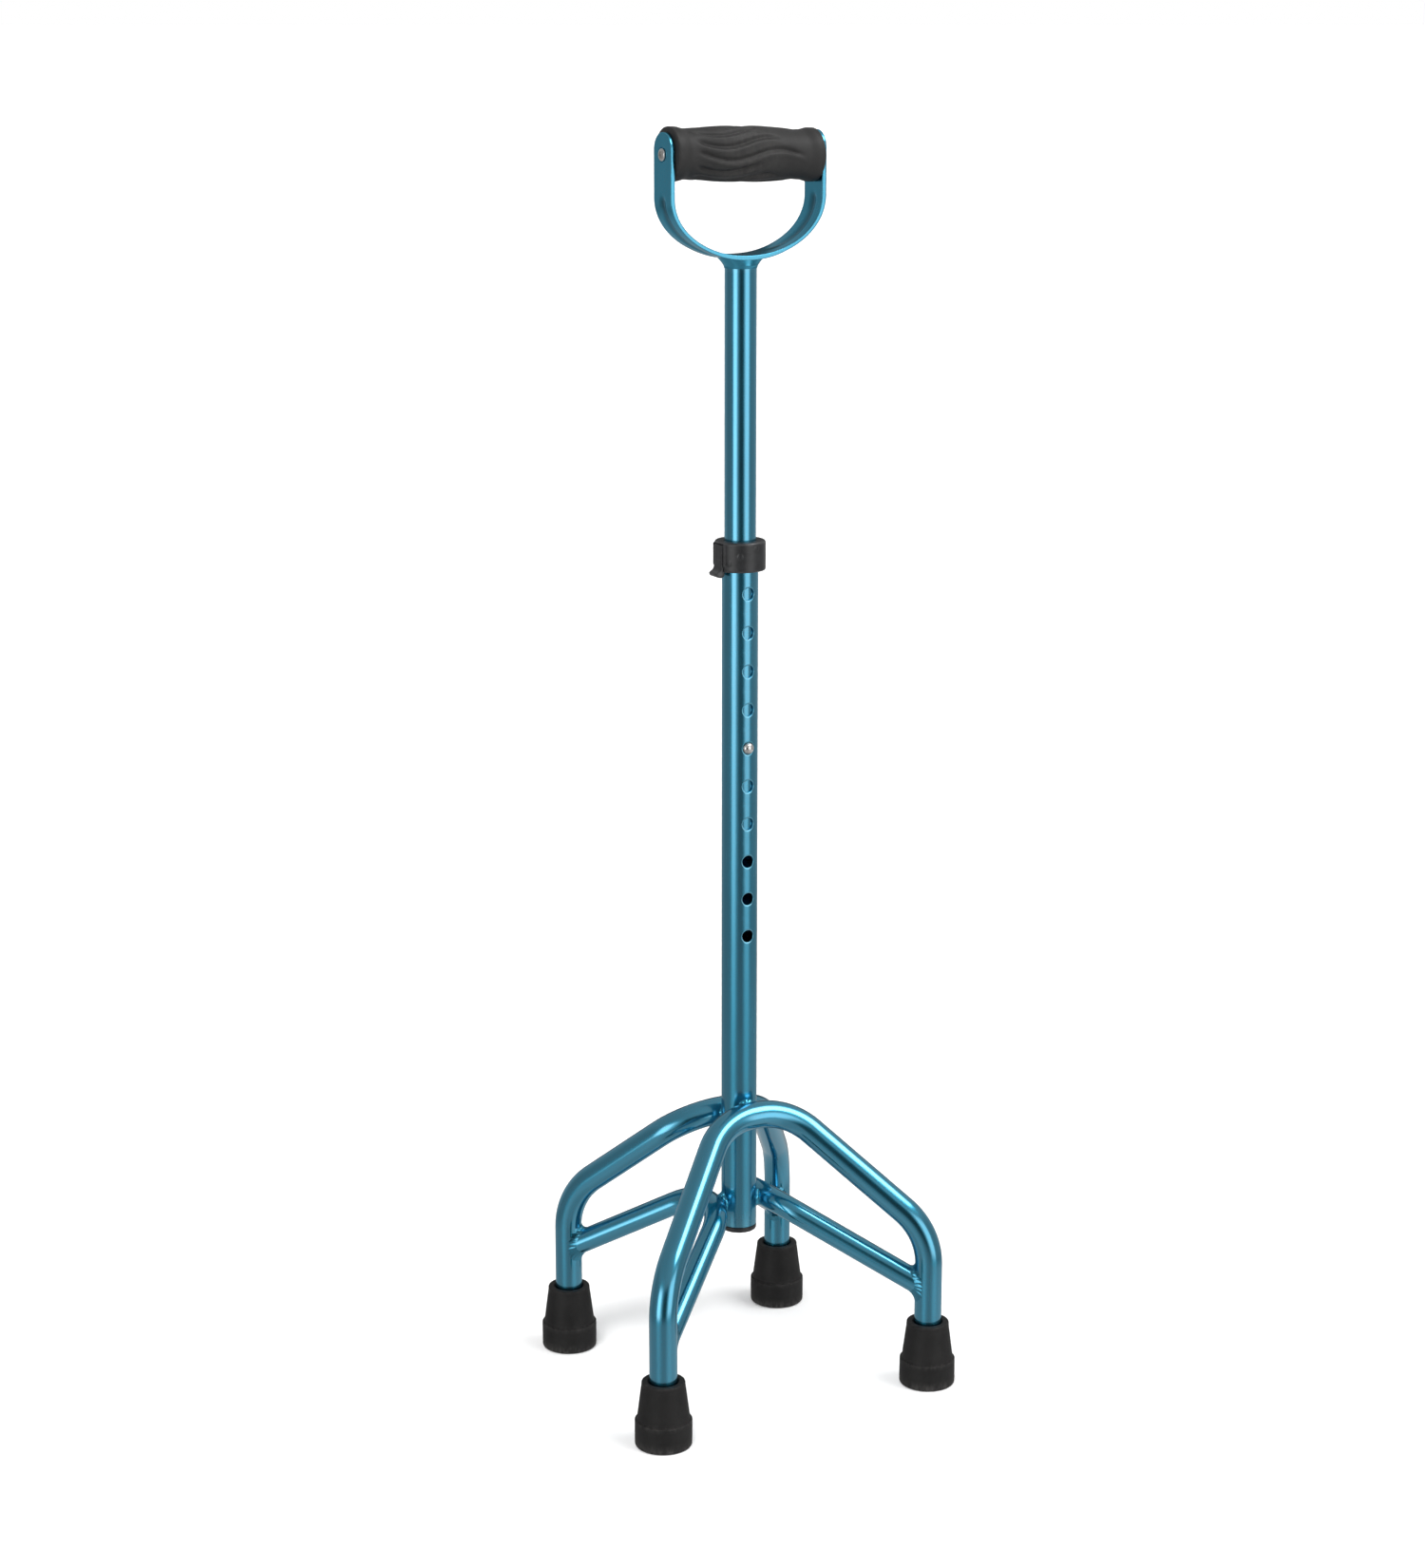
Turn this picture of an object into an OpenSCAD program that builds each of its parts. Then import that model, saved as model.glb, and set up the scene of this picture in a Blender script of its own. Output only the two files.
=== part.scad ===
// Quad walking cane with a D-handle, a telescoping post and a four-footed tube base.
// Millimetres, +Z up. The floor is z = 0 and the origin is the middle of the base's box.

/* [Base tubes] */
// Half the distance between the front legs
front_foot_x = 99.5; // [92:0.5:108]
// Distance of the front legs from the post's axis
front_foot_y = 79.5; // [72:0.5:88]
// Half the distance between the rear legs
rear_foot_x = 82; // [76:0.5:92]
// Distance of the rear legs from the post's axis
rear_foot_y = 90.5; // [82:0.5:98]
// Outer diameter of the two arch tubes
arch_d = 18; // [16:0.5:19]
// Wall of the arch tubes
arch_wall = 1.6; // [1.2:0.1:2.5]
// Height of the front arch's centre line at the post
front_top_z = 186; // [180:0.5:195]
// Height of the front arch's knees, where its legs turn inwards
front_knee_z = 106; // [100:0.5:112]
// Half the length of the front arch's top, between its corners
front_top_x = 24; // [23:0.5:30]
// Height of the rear arch's centre line at the post
rear_top_z = 177.5; // [172:0.5:186]
// Height of the rear arch's knees
rear_knee_z = 109.5; // [102:0.5:114]
// Half the length of the rear arch's top, between its corners
rear_top_x = 28; // [27:0.5:32]
// Bend radius at the arches' tops
top_bend = 44; // [36:1:45]
// Bend radius at the arches' knees
knee_bend = 48; // [40:1:52]
// Outer diameter of the two V-shaped braces
brace_d = 15.5; // [14:0.5:16]
// Wall of the braces
brace_wall = 1.5; // [1:0.1:2.5]
// Height at which the braces' straight limbs would meet
brace_vertex_z = 134.5; // [128:0.5:140]
// Height of the braces' ends on the front legs
brace_front_z = 66; // [60:1:72]
// Height of the braces' ends on the rear legs
brace_rear_z = 71; // [64:1:76]
// Bend radius of the braces
brace_bend = 37; // [30:1:40]

/* [Feet] */
// Diameter of a rubber foot's tread band
foot_d = 37.3; // [34:0.1:40]
// Height of a rubber foot
foot_h = 43.5; // [38:0.5:50]
// Height of the tread band
foot_band_h = 17.8; // [14:0.2:20]
// Diameter of a foot just above its band
foot_cone_d = 34; // [31:0.1:34]
// Diameter of a foot at its top
foot_top_d = 27.6; // [26:0.1:30]

/* [Post] */
// Outer diameter of the outer post
post_d = 23.3; // [22.8:0.1:24]
// Wall of the outer post
post_wall = 1.2; // [1:0.1:1.4]
// Lower end of the outer post
post_bottom_z = 102.5; // [98:0.5:108]
// Upper end of the outer post
post_top_z = 558; // [554:0.5:559]
// Diameter of the height holes
hole_d = 8; // [7.8:0.1:8.4]
// Number of height holes
hole_count = 10; // [8:1:10]
// Distance from hole to hole
hole_pitch = 25; // [25:0.1:25.4]
// Height of the top hole
top_hole_z = 530.7; // [525:0.1:532]
// Hole that the button sits in, counted from the top
button_hole = 5; // [1:1:8]

/* [Upper tube] */
// Outer diameter of the sliding upper tube
upper_d = 20.2; // [20:0.1:20.2]
// Wall of the upper tube
upper_wall = 1.2; // [1:0.1:1.4]
// Lower end of the upper tube
upper_bottom_z = 365; // [340:1:380]
// Diameter of the snap button
button_d = 7.4; // [6.8:0.1:7.4]
// How far the button stands out of the outer post
button_proud = 2.35; // [1.8:0.05:2.6]

/* [Collar] */
// Outer diameter of the locking collar
collar_d = 32.6; // [32:0.1:36]
// Lower face of the collar
collar_bottom_z = 545; // [544:0.5:547]
// Upper face of the collar
collar_top_z = 565; // [564.5:0.5:567]
// Width of the lock lever
lever_w = 10.6; // [9:0.1:11]

/* [Handle] */
// Height of the grip's axis
grip_z = 804.3; // [800:0.1:808]
// Width of the yoke's strap
yoke_w = 22.5; // [20:0.1:24]
// Half the inside width of the yoke
yoke_in_x = 52; // [50:0.5:56]
// Thickness of the yoke's arms
yoke_t = 2.9; // [2.5:0.1:3.5]
// Diameter of the grip at its middle
grip_d = 33.9; // [32:0.1:35]
// Diameter of the grip at its necks
grip_neck_d = 30; // [28:0.1:31]
// Diameter of the grip's end flanges
grip_flange_d = 33; // [31:0.1:34]

/* [Hidden] */

// The post stands off the middle, because the front legs reach less far than the rear ones.
post_y = (front_foot_y - rear_foot_y) / 2;
weld_gap = 0.15;           // air between tubes that a weld joins
joint_gap = 0.05;          // hair left between a straight and an elbow
joint_half = 0.5;          // half the length of the band that closes it
joint_over = 0.03;         // how far that band stands proud
skin = 0.05;               // air between a weld and the tubes it sits on
fit = 0.07;                // radial running fit
arch_r = arch_d / 2;
brace_r = brace_d / 2;
post_r = post_d / 2;
post_in_r = post_r - post_wall;
upper_r = upper_d / 2;
upper_in_r = upper_r - upper_wall;
arch_y = post_r + arch_r + weld_gap;
leg_end_z = 14;            // lower end of the legs, inside the feet
washer_t = 1.6;
foot_floor_z = leg_end_z - washer_t - 0.1;
hole_z = [for (i = [0:hole_count - 1]) top_hole_z - i * hole_pitch];
button_z = hole_z[button_hole - 1];
button_tip = post_r + button_proud;
button_r = button_d / 2;
strap_bottom_z = 740;
strap_spring_z = 778;      // where the arms end and the bend begins
strap_in_bottom_z = 743.1;
arm_top = 2.3;             // how far above the bolt an arm's round top is centred
yoke_out_x = yoke_in_x + yoke_t;
grip_half = yoke_in_x - 0.4;
bolt_r = 3;
bolt_head_r = 3.9;
counterbore = 0.6;
lever_x = -14.2;           // lever's pivot, measured from the post's axis
lever_z = 560.6;
lever_t = 4;
pin_r = 1;
blue = [0.15, 0.44, 0.56];
black = [0.13, 0.13, 0.14];
rubber = [0.16, 0.16, 0.16];
charcoal = [0.27, 0.26, 0.26];
silver = [0.78, 0.79, 0.8];
$fn = 64;

// Corner points of each bent tube, measured from the post's axis.
front_run = [
    [-front_foot_x, -front_foot_y, leg_end_z], [-front_foot_x, -front_foot_y, front_knee_z],
    [-front_top_x, -arch_y, front_top_z], [front_top_x, -arch_y, front_top_z],
    [front_foot_x, -front_foot_y, front_knee_z], [front_foot_x, -front_foot_y, leg_end_z]
];
rear_run = [
    [-rear_foot_x, rear_foot_y, leg_end_z], [-rear_foot_x, rear_foot_y, rear_knee_z],
    [-rear_top_x, arch_y, rear_top_z], [rear_top_x, arch_y, rear_top_z],
    [rear_foot_x, rear_foot_y, rear_knee_z], [rear_foot_x, rear_foot_y, leg_end_z]
];
arch_bends = [knee_bend, top_bend, top_bend, knee_bend];
brace_vertex = [0.3, 4, brace_vertex_z];
brace_run = [
    [front_foot_x, -front_foot_y, brace_front_z], brace_vertex,
    [rear_foot_x, rear_foot_y, brace_rear_z]
];
feet = [
    [-front_foot_x, -front_foot_y], [front_foot_x, -front_foot_y],
    [-rear_foot_x, rear_foot_y], [rear_foot_x, rear_foot_y]
];

function unit(v) = v / norm(v);
function turn(a, p, b) = 180 - acos(unit(a - p) * unit(b - p));
function tangent(a, p, b, radius) = radius * tan(turn(a, p, b) / 2);
// Where the straight before or after corner i starts or stops.
function leave(p, bends, i) = i == 0 ? p[0]
    : p[i] + unit(p[i + 1] - p[i]) * tangent(p[i - 1], p[i], p[i + 1], bends[i - 1]);
function reach(p, bends, i) = i == len(p) - 1 ? p[i]
    : p[i] + unit(p[i - 1] - p[i]) * tangent(p[i - 1], p[i], p[i + 1], bends[i - 1]);
// Moves a run's two ends outwards, so that a hollow runs out of its tube.
function longer(p, by) = [for (i = [0:len(p) - 1])
    i == 0 ? p[0] + by * unit(p[0] - p[1])
    : i == len(p) - 1 ? p[i] + by * unit(p[i] - p[i - 1]) : p[i]];
function superellipse(a, b, n, angle) =
    [a * pow(abs(cos(angle)), 2 / n) * sign(cos(angle)),
     b * pow(abs(sin(angle)), 2 / n) * sign(sin(angle))];

module at_post(z = 0) { translate([0, post_y, z]) children(); }

// A round bar from point a to point b.
module bar(a, b, r) {
    d = b - a;
    translate(a) rotate([0, acos(d[2] / norm(d)), atan2(d[1], d[0])]) cylinder(h = norm(d), r = r);
}

// The bent stretch of a round bar at corner p, between corners a and b, a hair short at both ends.
module elbow(a, p, b, radius, r) {
    sweep = turn(a, p, b);
    start = p + unit(a - p) * tangent(a, p, b, radius);
    stop = p + unit(b - p) * tangent(a, p, b, radius);
    c = p + unit(unit(a - p) + unit(b - p)) * radius / cos(sweep / 2);
    x = unit(start - c);
    y = unit((stop - c) - x * ((stop - c) * x));
    z = cross(x, y);
    short = atan(joint_gap / radius);
    multmatrix([
        [x[0], y[0], z[0], c[0]], [x[1], y[1], z[1], c[1]],
        [x[2], y[2], z[2], c[2]], [0, 0, 0, 1]
    ]) rotate([0, 0, short]) rotate_extrude(angle = sweep - 2 * short)
        translate([radius, 0]) circle(r = r);
}

// Closes the hair between a straight and an elbow at point a, along direction d.
module joint(a, d, r) { bar(a - d * joint_half, a + d * joint_half, r + joint_over); }

// A round bar along the corners p, with a bend radius at each inner corner.
module bent_bar(p, bends, r) {
    last = len(p) - 1;
    for (i = [0:last - 1]) {
        a = leave(p, bends, i);
        b = reach(p, bends, i + 1);
        d = unit(b - a);
        bar(i > 0 ? a + d * joint_gap : a, i < last - 1 ? b - d * joint_gap : b, r);
        if (i > 0) joint(a, d, r);
        if (i < last - 1) joint(b, d, r);
    }
    for (i = [1:last - 1]) elbow(p[i - 1], p[i], p[i + 1], bends[i - 1], r);
}

module bent_tube(p, bends, r, wall) {
    difference() {
        bent_bar(p, bends, r);
        bent_bar(longer(p, 2), bends, r - wall);
    }
}

// ---- base ----

module outer_post() {
    color(blue) at_post() difference() {
        translate([0, 0, post_bottom_z]) cylinder(h = post_top_z - post_bottom_z, r = post_r);
        translate([0, 0, post_bottom_z - 1]) cylinder(h = post_top_z - post_bottom_z + 2, r = post_in_r);
        for (z = hole_z) translate([0, 0, z]) rotate([90, 0, 0]) cylinder(h = post_d, d = hole_d);
    }
}

module post_end_plug() {
    rim = 4;
    spigot = 14;
    round_r = 1.6;
    color(black) at_post(post_bottom_z - rim) rotate_extrude() polygon(concat(
        [[0, rim + spigot], [0, 0]],
        [for (a = [-90:15:0]) [post_r - round_r + round_r * cos(a), round_r + round_r * sin(a)]],
        [[post_r, rim - 0.05], [post_in_r - skin, rim - 0.05], [post_in_r - skin, rim + spigot]]
    ));
}

module front_arch_tube() { color(blue) at_post() bent_tube(front_run, arch_bends, arch_r, arch_wall); }

module rear_arch_tube() { color(blue) at_post() bent_tube(rear_run, arch_bends, arch_r, arch_wall); }

// A leg's surface at a brace's end, a little out of it.
module cope(end) {
    translate([end[0], end[1], end[2] - 40]) cylinder(h = 80, r = arch_r + weld_gap);
}

module right_brace_tube() {
    color(blue) at_post() difference() {
        bent_bar(brace_run, [brace_bend], brace_r);
        bent_bar(longer(brace_run, 2), [brace_bend], brace_r - brace_wall);
        cope(brace_run[0]);
        cope(brace_run[2]);
    }
}

module left_brace_tube() { mirror([1, 0, 0]) right_brace_tube(); }

// A bead round the place where the post and an arch cross. It clears the arch's bends.
module arch_weld(side, z) {
    bead_r = 6.5;
    bend_room = 0.25;
    color(blue) at_post() difference() {
        translate([0, 0, z]) rotate([side * 90, 0, 0]) cylinder(h = arch_y, r = bead_r, $fn = 180);
        cylinder(h = post_top_z, r = post_r + skin, $fn = 180);
        translate([0, -side * arch_y, z]) rotate([0, 90, 0])
            cylinder(h = 4 * bead_r, r = arch_r + bend_room, center = true, $fn = 180);
    }
}

module front_arch_weld() { arch_weld(1, front_top_z); }

module rear_arch_weld() { arch_weld(-1, rear_top_z); }

// Middle of the brace's bend, on the side of the post.
brace_turn = turn(brace_run[0], brace_run[1], brace_run[2]);
brace_apex = brace_vertex
    + unit(unit(brace_run[0] - brace_vertex) + unit(brace_run[2] - brace_vertex))
    * brace_bend * (1 / cos(brace_turn / 2) - 1);

module brace_post_weld() {
    bead_r = 6.5;
    toward = [brace_apex[0], brace_apex[1], 0];
    difference() {
        bar([0, 0, brace_apex[2]], toward + [0, 0, brace_apex[2]], bead_r, $fn = 180);
        cylinder(h = post_top_z, r = post_r + skin, $fn = 180);
        bent_bar(brace_run, [brace_bend], brace_r + skin, $fn = 180);
    }
}

module brace_post_welds() {
    color(blue) at_post() {
        brace_post_weld();
        mirror([1, 0, 0]) brace_post_weld();
    }
}

module brace_leg_weld(end) {
    bead = 1.8;
    along = unit(brace_vertex - end);
    difference() {
        bar(end, end + along * (arch_r + 4.5), brace_r + bead);
        bent_bar(longer(brace_run, 20), [brace_bend], brace_r + skin);
        for (f = feet) translate([f[0], f[1], leg_end_z]) cylinder(h = 90, r = arch_r + skin);
        bar(end - along * 20, end + along * arch_r * 0.6, brace_r * 3);
    }
}

module brace_leg_welds() {
    color(blue) at_post() for (m = [0, 1]) mirror([m, 0, 0]) {
        brace_leg_weld(brace_run[0]);
        brace_leg_weld(brace_run[2]);
    }
}

module foot(i) {
    r = foot_d / 2;
    edge = 1.6;
    groove = 1.2;
    bore_r = arch_r + skin;
    color(rubber) at_post() translate([feet[i][0], feet[i][1], 0]) rotate_extrude() polygon(concat(
        [[0, foot_floor_z], [0, 0]],
        [for (g = [7, 12]) for (q = [[0, 0], [0, 1], [1.6, 1], [1.6, 0]]) [g + q[0], groove * q[1]]],
        [for (a = [-90:15:0]) [r - edge + edge * cos(a), edge + edge * sin(a)]],
        [[r, foot_band_h - 0.8], [r - 0.8, foot_band_h], [foot_cone_d / 2, foot_band_h],
         [foot_top_d / 2, foot_h - 0.6], [foot_top_d / 2 - 0.6, foot_h],
         [bore_r + 1.2, foot_h], [bore_r, foot_h - 3], [bore_r, foot_floor_z]]
    ));
}

module foot_washers() {
    color(silver) at_post(foot_floor_z + 0.05) for (f = feet) translate([f[0], f[1], 0]) difference() {
        cylinder(h = washer_t, r = arch_r - 0.1);
        translate([0, 0, -1]) cylinder(h = washer_t + 2, r = 3);
    }
}

// ---- collar ----

module collar_body() {
    r = collar_d / 2;
    h = collar_top_z - collar_bottom_z;
    cheek_y = lever_w / 2 + 1.5;
    roof_z = lever_z + lever_t / 2 + 0.4;
    bush_top_z = collar_top_z - 1.2;
    color(black) at_post() difference() {
        union() {
            translate([0, 0, collar_bottom_z]) rotate_extrude() polygon([
                [0, 0], [r - 1, 0], [r, 1], [r, h - 1.2], [r - 1.2, h], [0, h]
            ]);
            translate([lever_x - 1.7, -cheek_y, collar_bottom_z + 4])
                cube([6, 2 * cheek_y, h - 5.2]);
        }
        translate([0, 0, collar_bottom_z - 1]) cylinder(h = post_top_z - collar_bottom_z + 1.1, r = post_r + skin);
        translate([0, 0, post_top_z]) cylinder(h = bush_top_z - post_top_z, r = upper_r + 2);
        cylinder(h = 600, r = upper_r + 2 * fit);
        translate([-collar_d, -lever_w / 2 - 0.35, collar_bottom_z - 1])
            cube([collar_d - 10, lever_w + 0.7, roof_z - collar_bottom_z + 1]);
        translate([lever_x, 0, lever_z]) rotate([90, 0, 0])
            cylinder(h = 2 * cheek_y + 10, r = pin_r + skin, center = true);
    }
}

module collar_bush() {
    color(silver) at_post(post_top_z + 0.15) difference() {
        cylinder(h = collar_top_z - 1.35 - post_top_z - 0.15, r = upper_r + 2 - 0.05);
        translate([0, 0, -1]) cylinder(h = 20, r = upper_r + fit);
        translate([-20, -lever_w / 2 - 1, -1]) cube([9, lever_w + 2, 20]);
    }
}

module lock_lever() {
    plate_t = 2.4;
    out = lever_t / 2;
    tab_z = collar_bottom_z - lever_z;
    color(black) at_post() translate([lever_x, lever_w / 2, lever_z]) rotate([90, 0, 0])
        difference() {
            union() {
                cylinder(h = lever_w, r = out);
                linear_extrude(lever_w) polygon([
                    [-out, 0], [-out, tab_z + 3], [-out - 0.8, tab_z + 0.6], [-out - 2.6, tab_z - 0.4],
                    [-out - 3.3, tab_z - 1.4], [-out - 2.6, tab_z - 2.9], [plate_t - out - 1, tab_z - 3],
                    [plate_t - out, tab_z - 1.6], [plate_t - out, 0]
                ]);
            }
            translate([0, 0, -1]) cylinder(h = lever_w + 2, r = pin_r + fit);
        }
}

module lever_pin() {
    half = lever_w / 2 + 1.3;
    color(silver) at_post() translate([lever_x, half, lever_z]) rotate([90, 0, 0])
        cylinder(h = 2 * half, r = pin_r);
}

// ---- sliding upper part ----

module upper_tube() {
    top_z = strap_bottom_z - 0.1;
    color(blue) at_post() difference() {
        translate([0, 0, upper_bottom_z]) cylinder(h = top_z - upper_bottom_z, r = upper_r);
        translate([0, 0, upper_bottom_z - 1]) cylinder(h = top_z - upper_bottom_z + 2, r = upper_in_r);
        translate([0, 0, button_z]) rotate([90, 0, 0]) cylinder(h = upper_d, r = button_r + 0.2);
    }
}

module tube_glide() {
    flange = 3;
    spigot = 10;
    color(black) at_post(upper_bottom_z - flange - 0.05) difference() {
        union() {
            cylinder(h = flange, r = post_in_r - fit);
            cylinder(h = flange + spigot, r = upper_in_r - skin);
        }
        translate([0, 0, -1]) cylinder(h = flange + spigot + 2, r = upper_in_r - 2);
    }
}

module snap_button() {
    flange_r = button_r + 0.7;
    dome = 1.5;
    color(silver) at_post(button_z) rotate([90, 0, 0]) rotate_extrude() polygon(concat(
        [[0, 6.3], [flange_r, 6.3], [flange_r, 7.4], [button_r, 7.4]],
        [for (a = [0:15:90]) [button_r - dome + dome * cos(a), button_tip - dome + dome * sin(a)]],
        [[0, button_tip]]
    ));
}

module snap_spring() {
    w = 7;
    t = 0.6;
    foot = -35.7;
    color(silver) at_post(button_z) translate([-w / 2, 0, 0]) rotate([90, 0, 90]) linear_extrude(w)
        polygon([
            [-6.15, 5], [-6.15, -5.5], [-0.8, foot], [0.8, foot], [8, 5], [8 - t, 5],
            [0.3, foot + 1.5], [-0.3, foot + 1.5], [t - 6.15, -5.5], [t - 6.15, 5]
        ]);
}

// ---- handle ----

module strap_outline() {
    drop_in = strap_spring_z - strap_in_bottom_z;
    drop_out = strap_spring_z - strap_bottom_z;
    top = grip_z + arm_top + yoke_w / 2 + 1;
    polygon(concat(
        [[-yoke_out_x, top], [-yoke_in_x, top]],
        [for (a = [180:6:360]) superellipse(yoke_in_x, drop_in, 2.05, a) + [0, strap_spring_z]],
        [[yoke_in_x, top], [yoke_out_x, top]],
        [for (a = [360:-6:180]) superellipse(yoke_out_x, drop_out, 2, a) + [0, strap_spring_z]]
    ));
}

module yoke() {
    neck_h = 7;
    neck_r = 14;
    throat_r = upper_r + skin;
    side_r = yoke_w / 2;
    color(blue) at_post() difference() {
        union() {
            intersection() {
                rotate([90, 0, 0]) linear_extrude(yoke_w, center = true) strap_outline();
                union() {
                    translate([-70, -side_r, 700]) cube([140, yoke_w, grip_z + arm_top - 700]);
                    translate([-70, 0, grip_z + arm_top]) rotate([0, 90, 0]) cylinder(h = 140, r = side_r);
                }
            }
            intersection() {
                translate([0, 0, strap_bottom_z - neck_h + 1]) rotate_extrude() polygon(concat(
                    [[throat_r, neck_h], [throat_r, 0]],
                    [for (a = [0:15:90]) [neck_r - (neck_r - throat_r - 0.6) * cos(a), neck_h * sin(a)]]
                ));
                translate([-20, -side_r, 700]) cube([40, yoke_w, strap_bottom_z + 1.4 - 700]);
            }
        }
        cylinder(h = strap_bottom_z, r = throat_r);
        translate([-70, 0, grip_z]) rotate([0, 90, 0]) cylinder(h = 140, r = bolt_r + 0.3);
        for (m = [0, 1]) mirror([m, 0, 0]) translate([yoke_out_x - counterbore, 0, grip_z])
            rotate([0, 90, 0]) cylinder(h = 10, r = bolt_head_r + 0.7);
    }
}

// Radius of the grip at a distance x from its middle.
function grip_radius(x) = abs(x) < 40
    ? grip_neck_d / 2 + (grip_d - grip_neck_d) / 2 * pow(cos(abs(x) * 90 / 40), 1.2)
    : abs(x) < 45.5 ? grip_neck_d / 2 + (grip_flange_d - grip_neck_d) / 2 * (abs(x) - 40) / 5.5
    : grip_flange_d / 2;

module along_grip() { at_post(grip_z) rotate([0, 90, 0]) children(); }

module grip_sleeve() {
    bore = 8.2;
    color(charcoal) along_grip() rotate_extrude() polygon(concat(
        [[bore, grip_half], [bore, -grip_half], [grip_flange_d / 2 - 1, -grip_half]],
        [for (x = [-grip_half + 1:3.162:grip_half - 0.9]) [grip_radius(x), x]],
        [[grip_flange_d / 2 - 1, grip_half]]
    ));
}

module grip_core() {
    color(black) along_grip() difference() {
        cylinder(h = 2 * grip_half, r = 8.1, center = true);
        cylinder(h = 3 * grip_half, r = bolt_r + 0.4, center = true);
    }
}

module screw_head() {
    head_h = 1.7;
    crown = 0.6;
    translate([0, 0, yoke_out_x - counterbore + 0.02]) difference() {
        rotate_extrude() polygon([
            [0, 0], [bolt_head_r, 0], [bolt_head_r, head_h - crown], [bolt_head_r - crown, head_h], [0, head_h]
        ]);
        translate([0, 0, 0.7]) cylinder(h = 3, d = 4.6, $fn = 6);
    }
}

module grip_bolt() {
    color(silver) along_grip() {
        mirror([0, 0, 1]) screw_head();
        translate([0, 0, -yoke_out_x + counterbore - 0.02])
            cylinder(h = yoke_out_x + 30, r = bolt_r - 0.8);
    }
}

module grip_nut() {
    barrel = 28;
    color(silver) along_grip() difference() {
        union() {
            screw_head();
            translate([0, 0, yoke_out_x - barrel]) cylinder(h = barrel - counterbore + 0.1, r = bolt_r);
        }
        translate([0, 0, yoke_out_x - barrel - 1]) cylinder(h = barrel - 2, r = bolt_r - 0.7);
    }
}

outer_post();
post_end_plug();
front_arch_tube();
rear_arch_tube();
left_brace_tube();
right_brace_tube();
front_arch_weld();
rear_arch_weld();
brace_post_welds();
brace_leg_welds();
foot(0);  // foot_front_left
foot(1);  // foot_front_right
foot(2);  // foot_rear_left
foot(3);  // foot_rear_right
foot_washers();
collar_body();
collar_bush();
lock_lever();
lever_pin();
upper_tube();
tube_glide();
snap_button();
snap_spring();
yoke();
grip_sleeve();
grip_core();
grip_bolt();
grip_nut();
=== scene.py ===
"""Quad walking cane: the visual model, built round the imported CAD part.

Lengths are in mm, from the point on the floor under the post's axis, unless a comment says metres.
"""

import math

import bmesh
import bpy
import numpy as np
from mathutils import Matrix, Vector


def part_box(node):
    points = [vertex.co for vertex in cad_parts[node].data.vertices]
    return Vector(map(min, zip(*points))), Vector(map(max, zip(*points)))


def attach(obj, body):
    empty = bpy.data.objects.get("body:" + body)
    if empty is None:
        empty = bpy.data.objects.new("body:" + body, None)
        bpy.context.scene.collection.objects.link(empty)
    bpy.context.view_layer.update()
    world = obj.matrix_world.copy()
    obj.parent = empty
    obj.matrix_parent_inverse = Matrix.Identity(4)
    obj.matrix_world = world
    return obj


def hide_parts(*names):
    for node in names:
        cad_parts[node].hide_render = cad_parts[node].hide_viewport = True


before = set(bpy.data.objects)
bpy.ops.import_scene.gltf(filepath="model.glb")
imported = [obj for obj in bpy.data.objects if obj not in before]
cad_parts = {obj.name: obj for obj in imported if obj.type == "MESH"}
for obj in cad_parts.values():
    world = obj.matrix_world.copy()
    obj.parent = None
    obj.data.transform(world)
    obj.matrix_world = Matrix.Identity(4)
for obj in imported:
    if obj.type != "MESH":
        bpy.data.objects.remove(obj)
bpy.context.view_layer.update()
scene = bpy.context.scene
MM = 0.001
POST_Y = sum(corner[1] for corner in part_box("outer_post")) / 2 / MM


def box_mm(node):
    """A CAD node's lowest and highest corner in mm from the post's axis."""
    return [np.array(corner, float) / MM - [0, POST_Y, 0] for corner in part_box(node)]


# ---- camera, in metres, set as the reference view was ----

VIEW = Vector((0.4697, 0.8510, -0.2350)).normalized()
cam_data = bpy.data.cameras.new("camera")
cam_data.lens, cam_data.sensor_width = 73.4, 36
cam_data.clip_start, cam_data.clip_end = 0.05, 200
camera = bpy.data.objects.new("camera", cam_data)
camera.location = (-0.9831, -1.7505, 0.8891)
camera.rotation_mode = "QUATERNION"
camera.rotation_quaternion = VIEW.to_track_quat("-Z", "Y")
scene.collection.objects.link(camera)
scene.camera = camera
scene.view_settings.view_transform = "Standard"
scene.view_settings.look = "None"


# ---- node graphs ----

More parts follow.
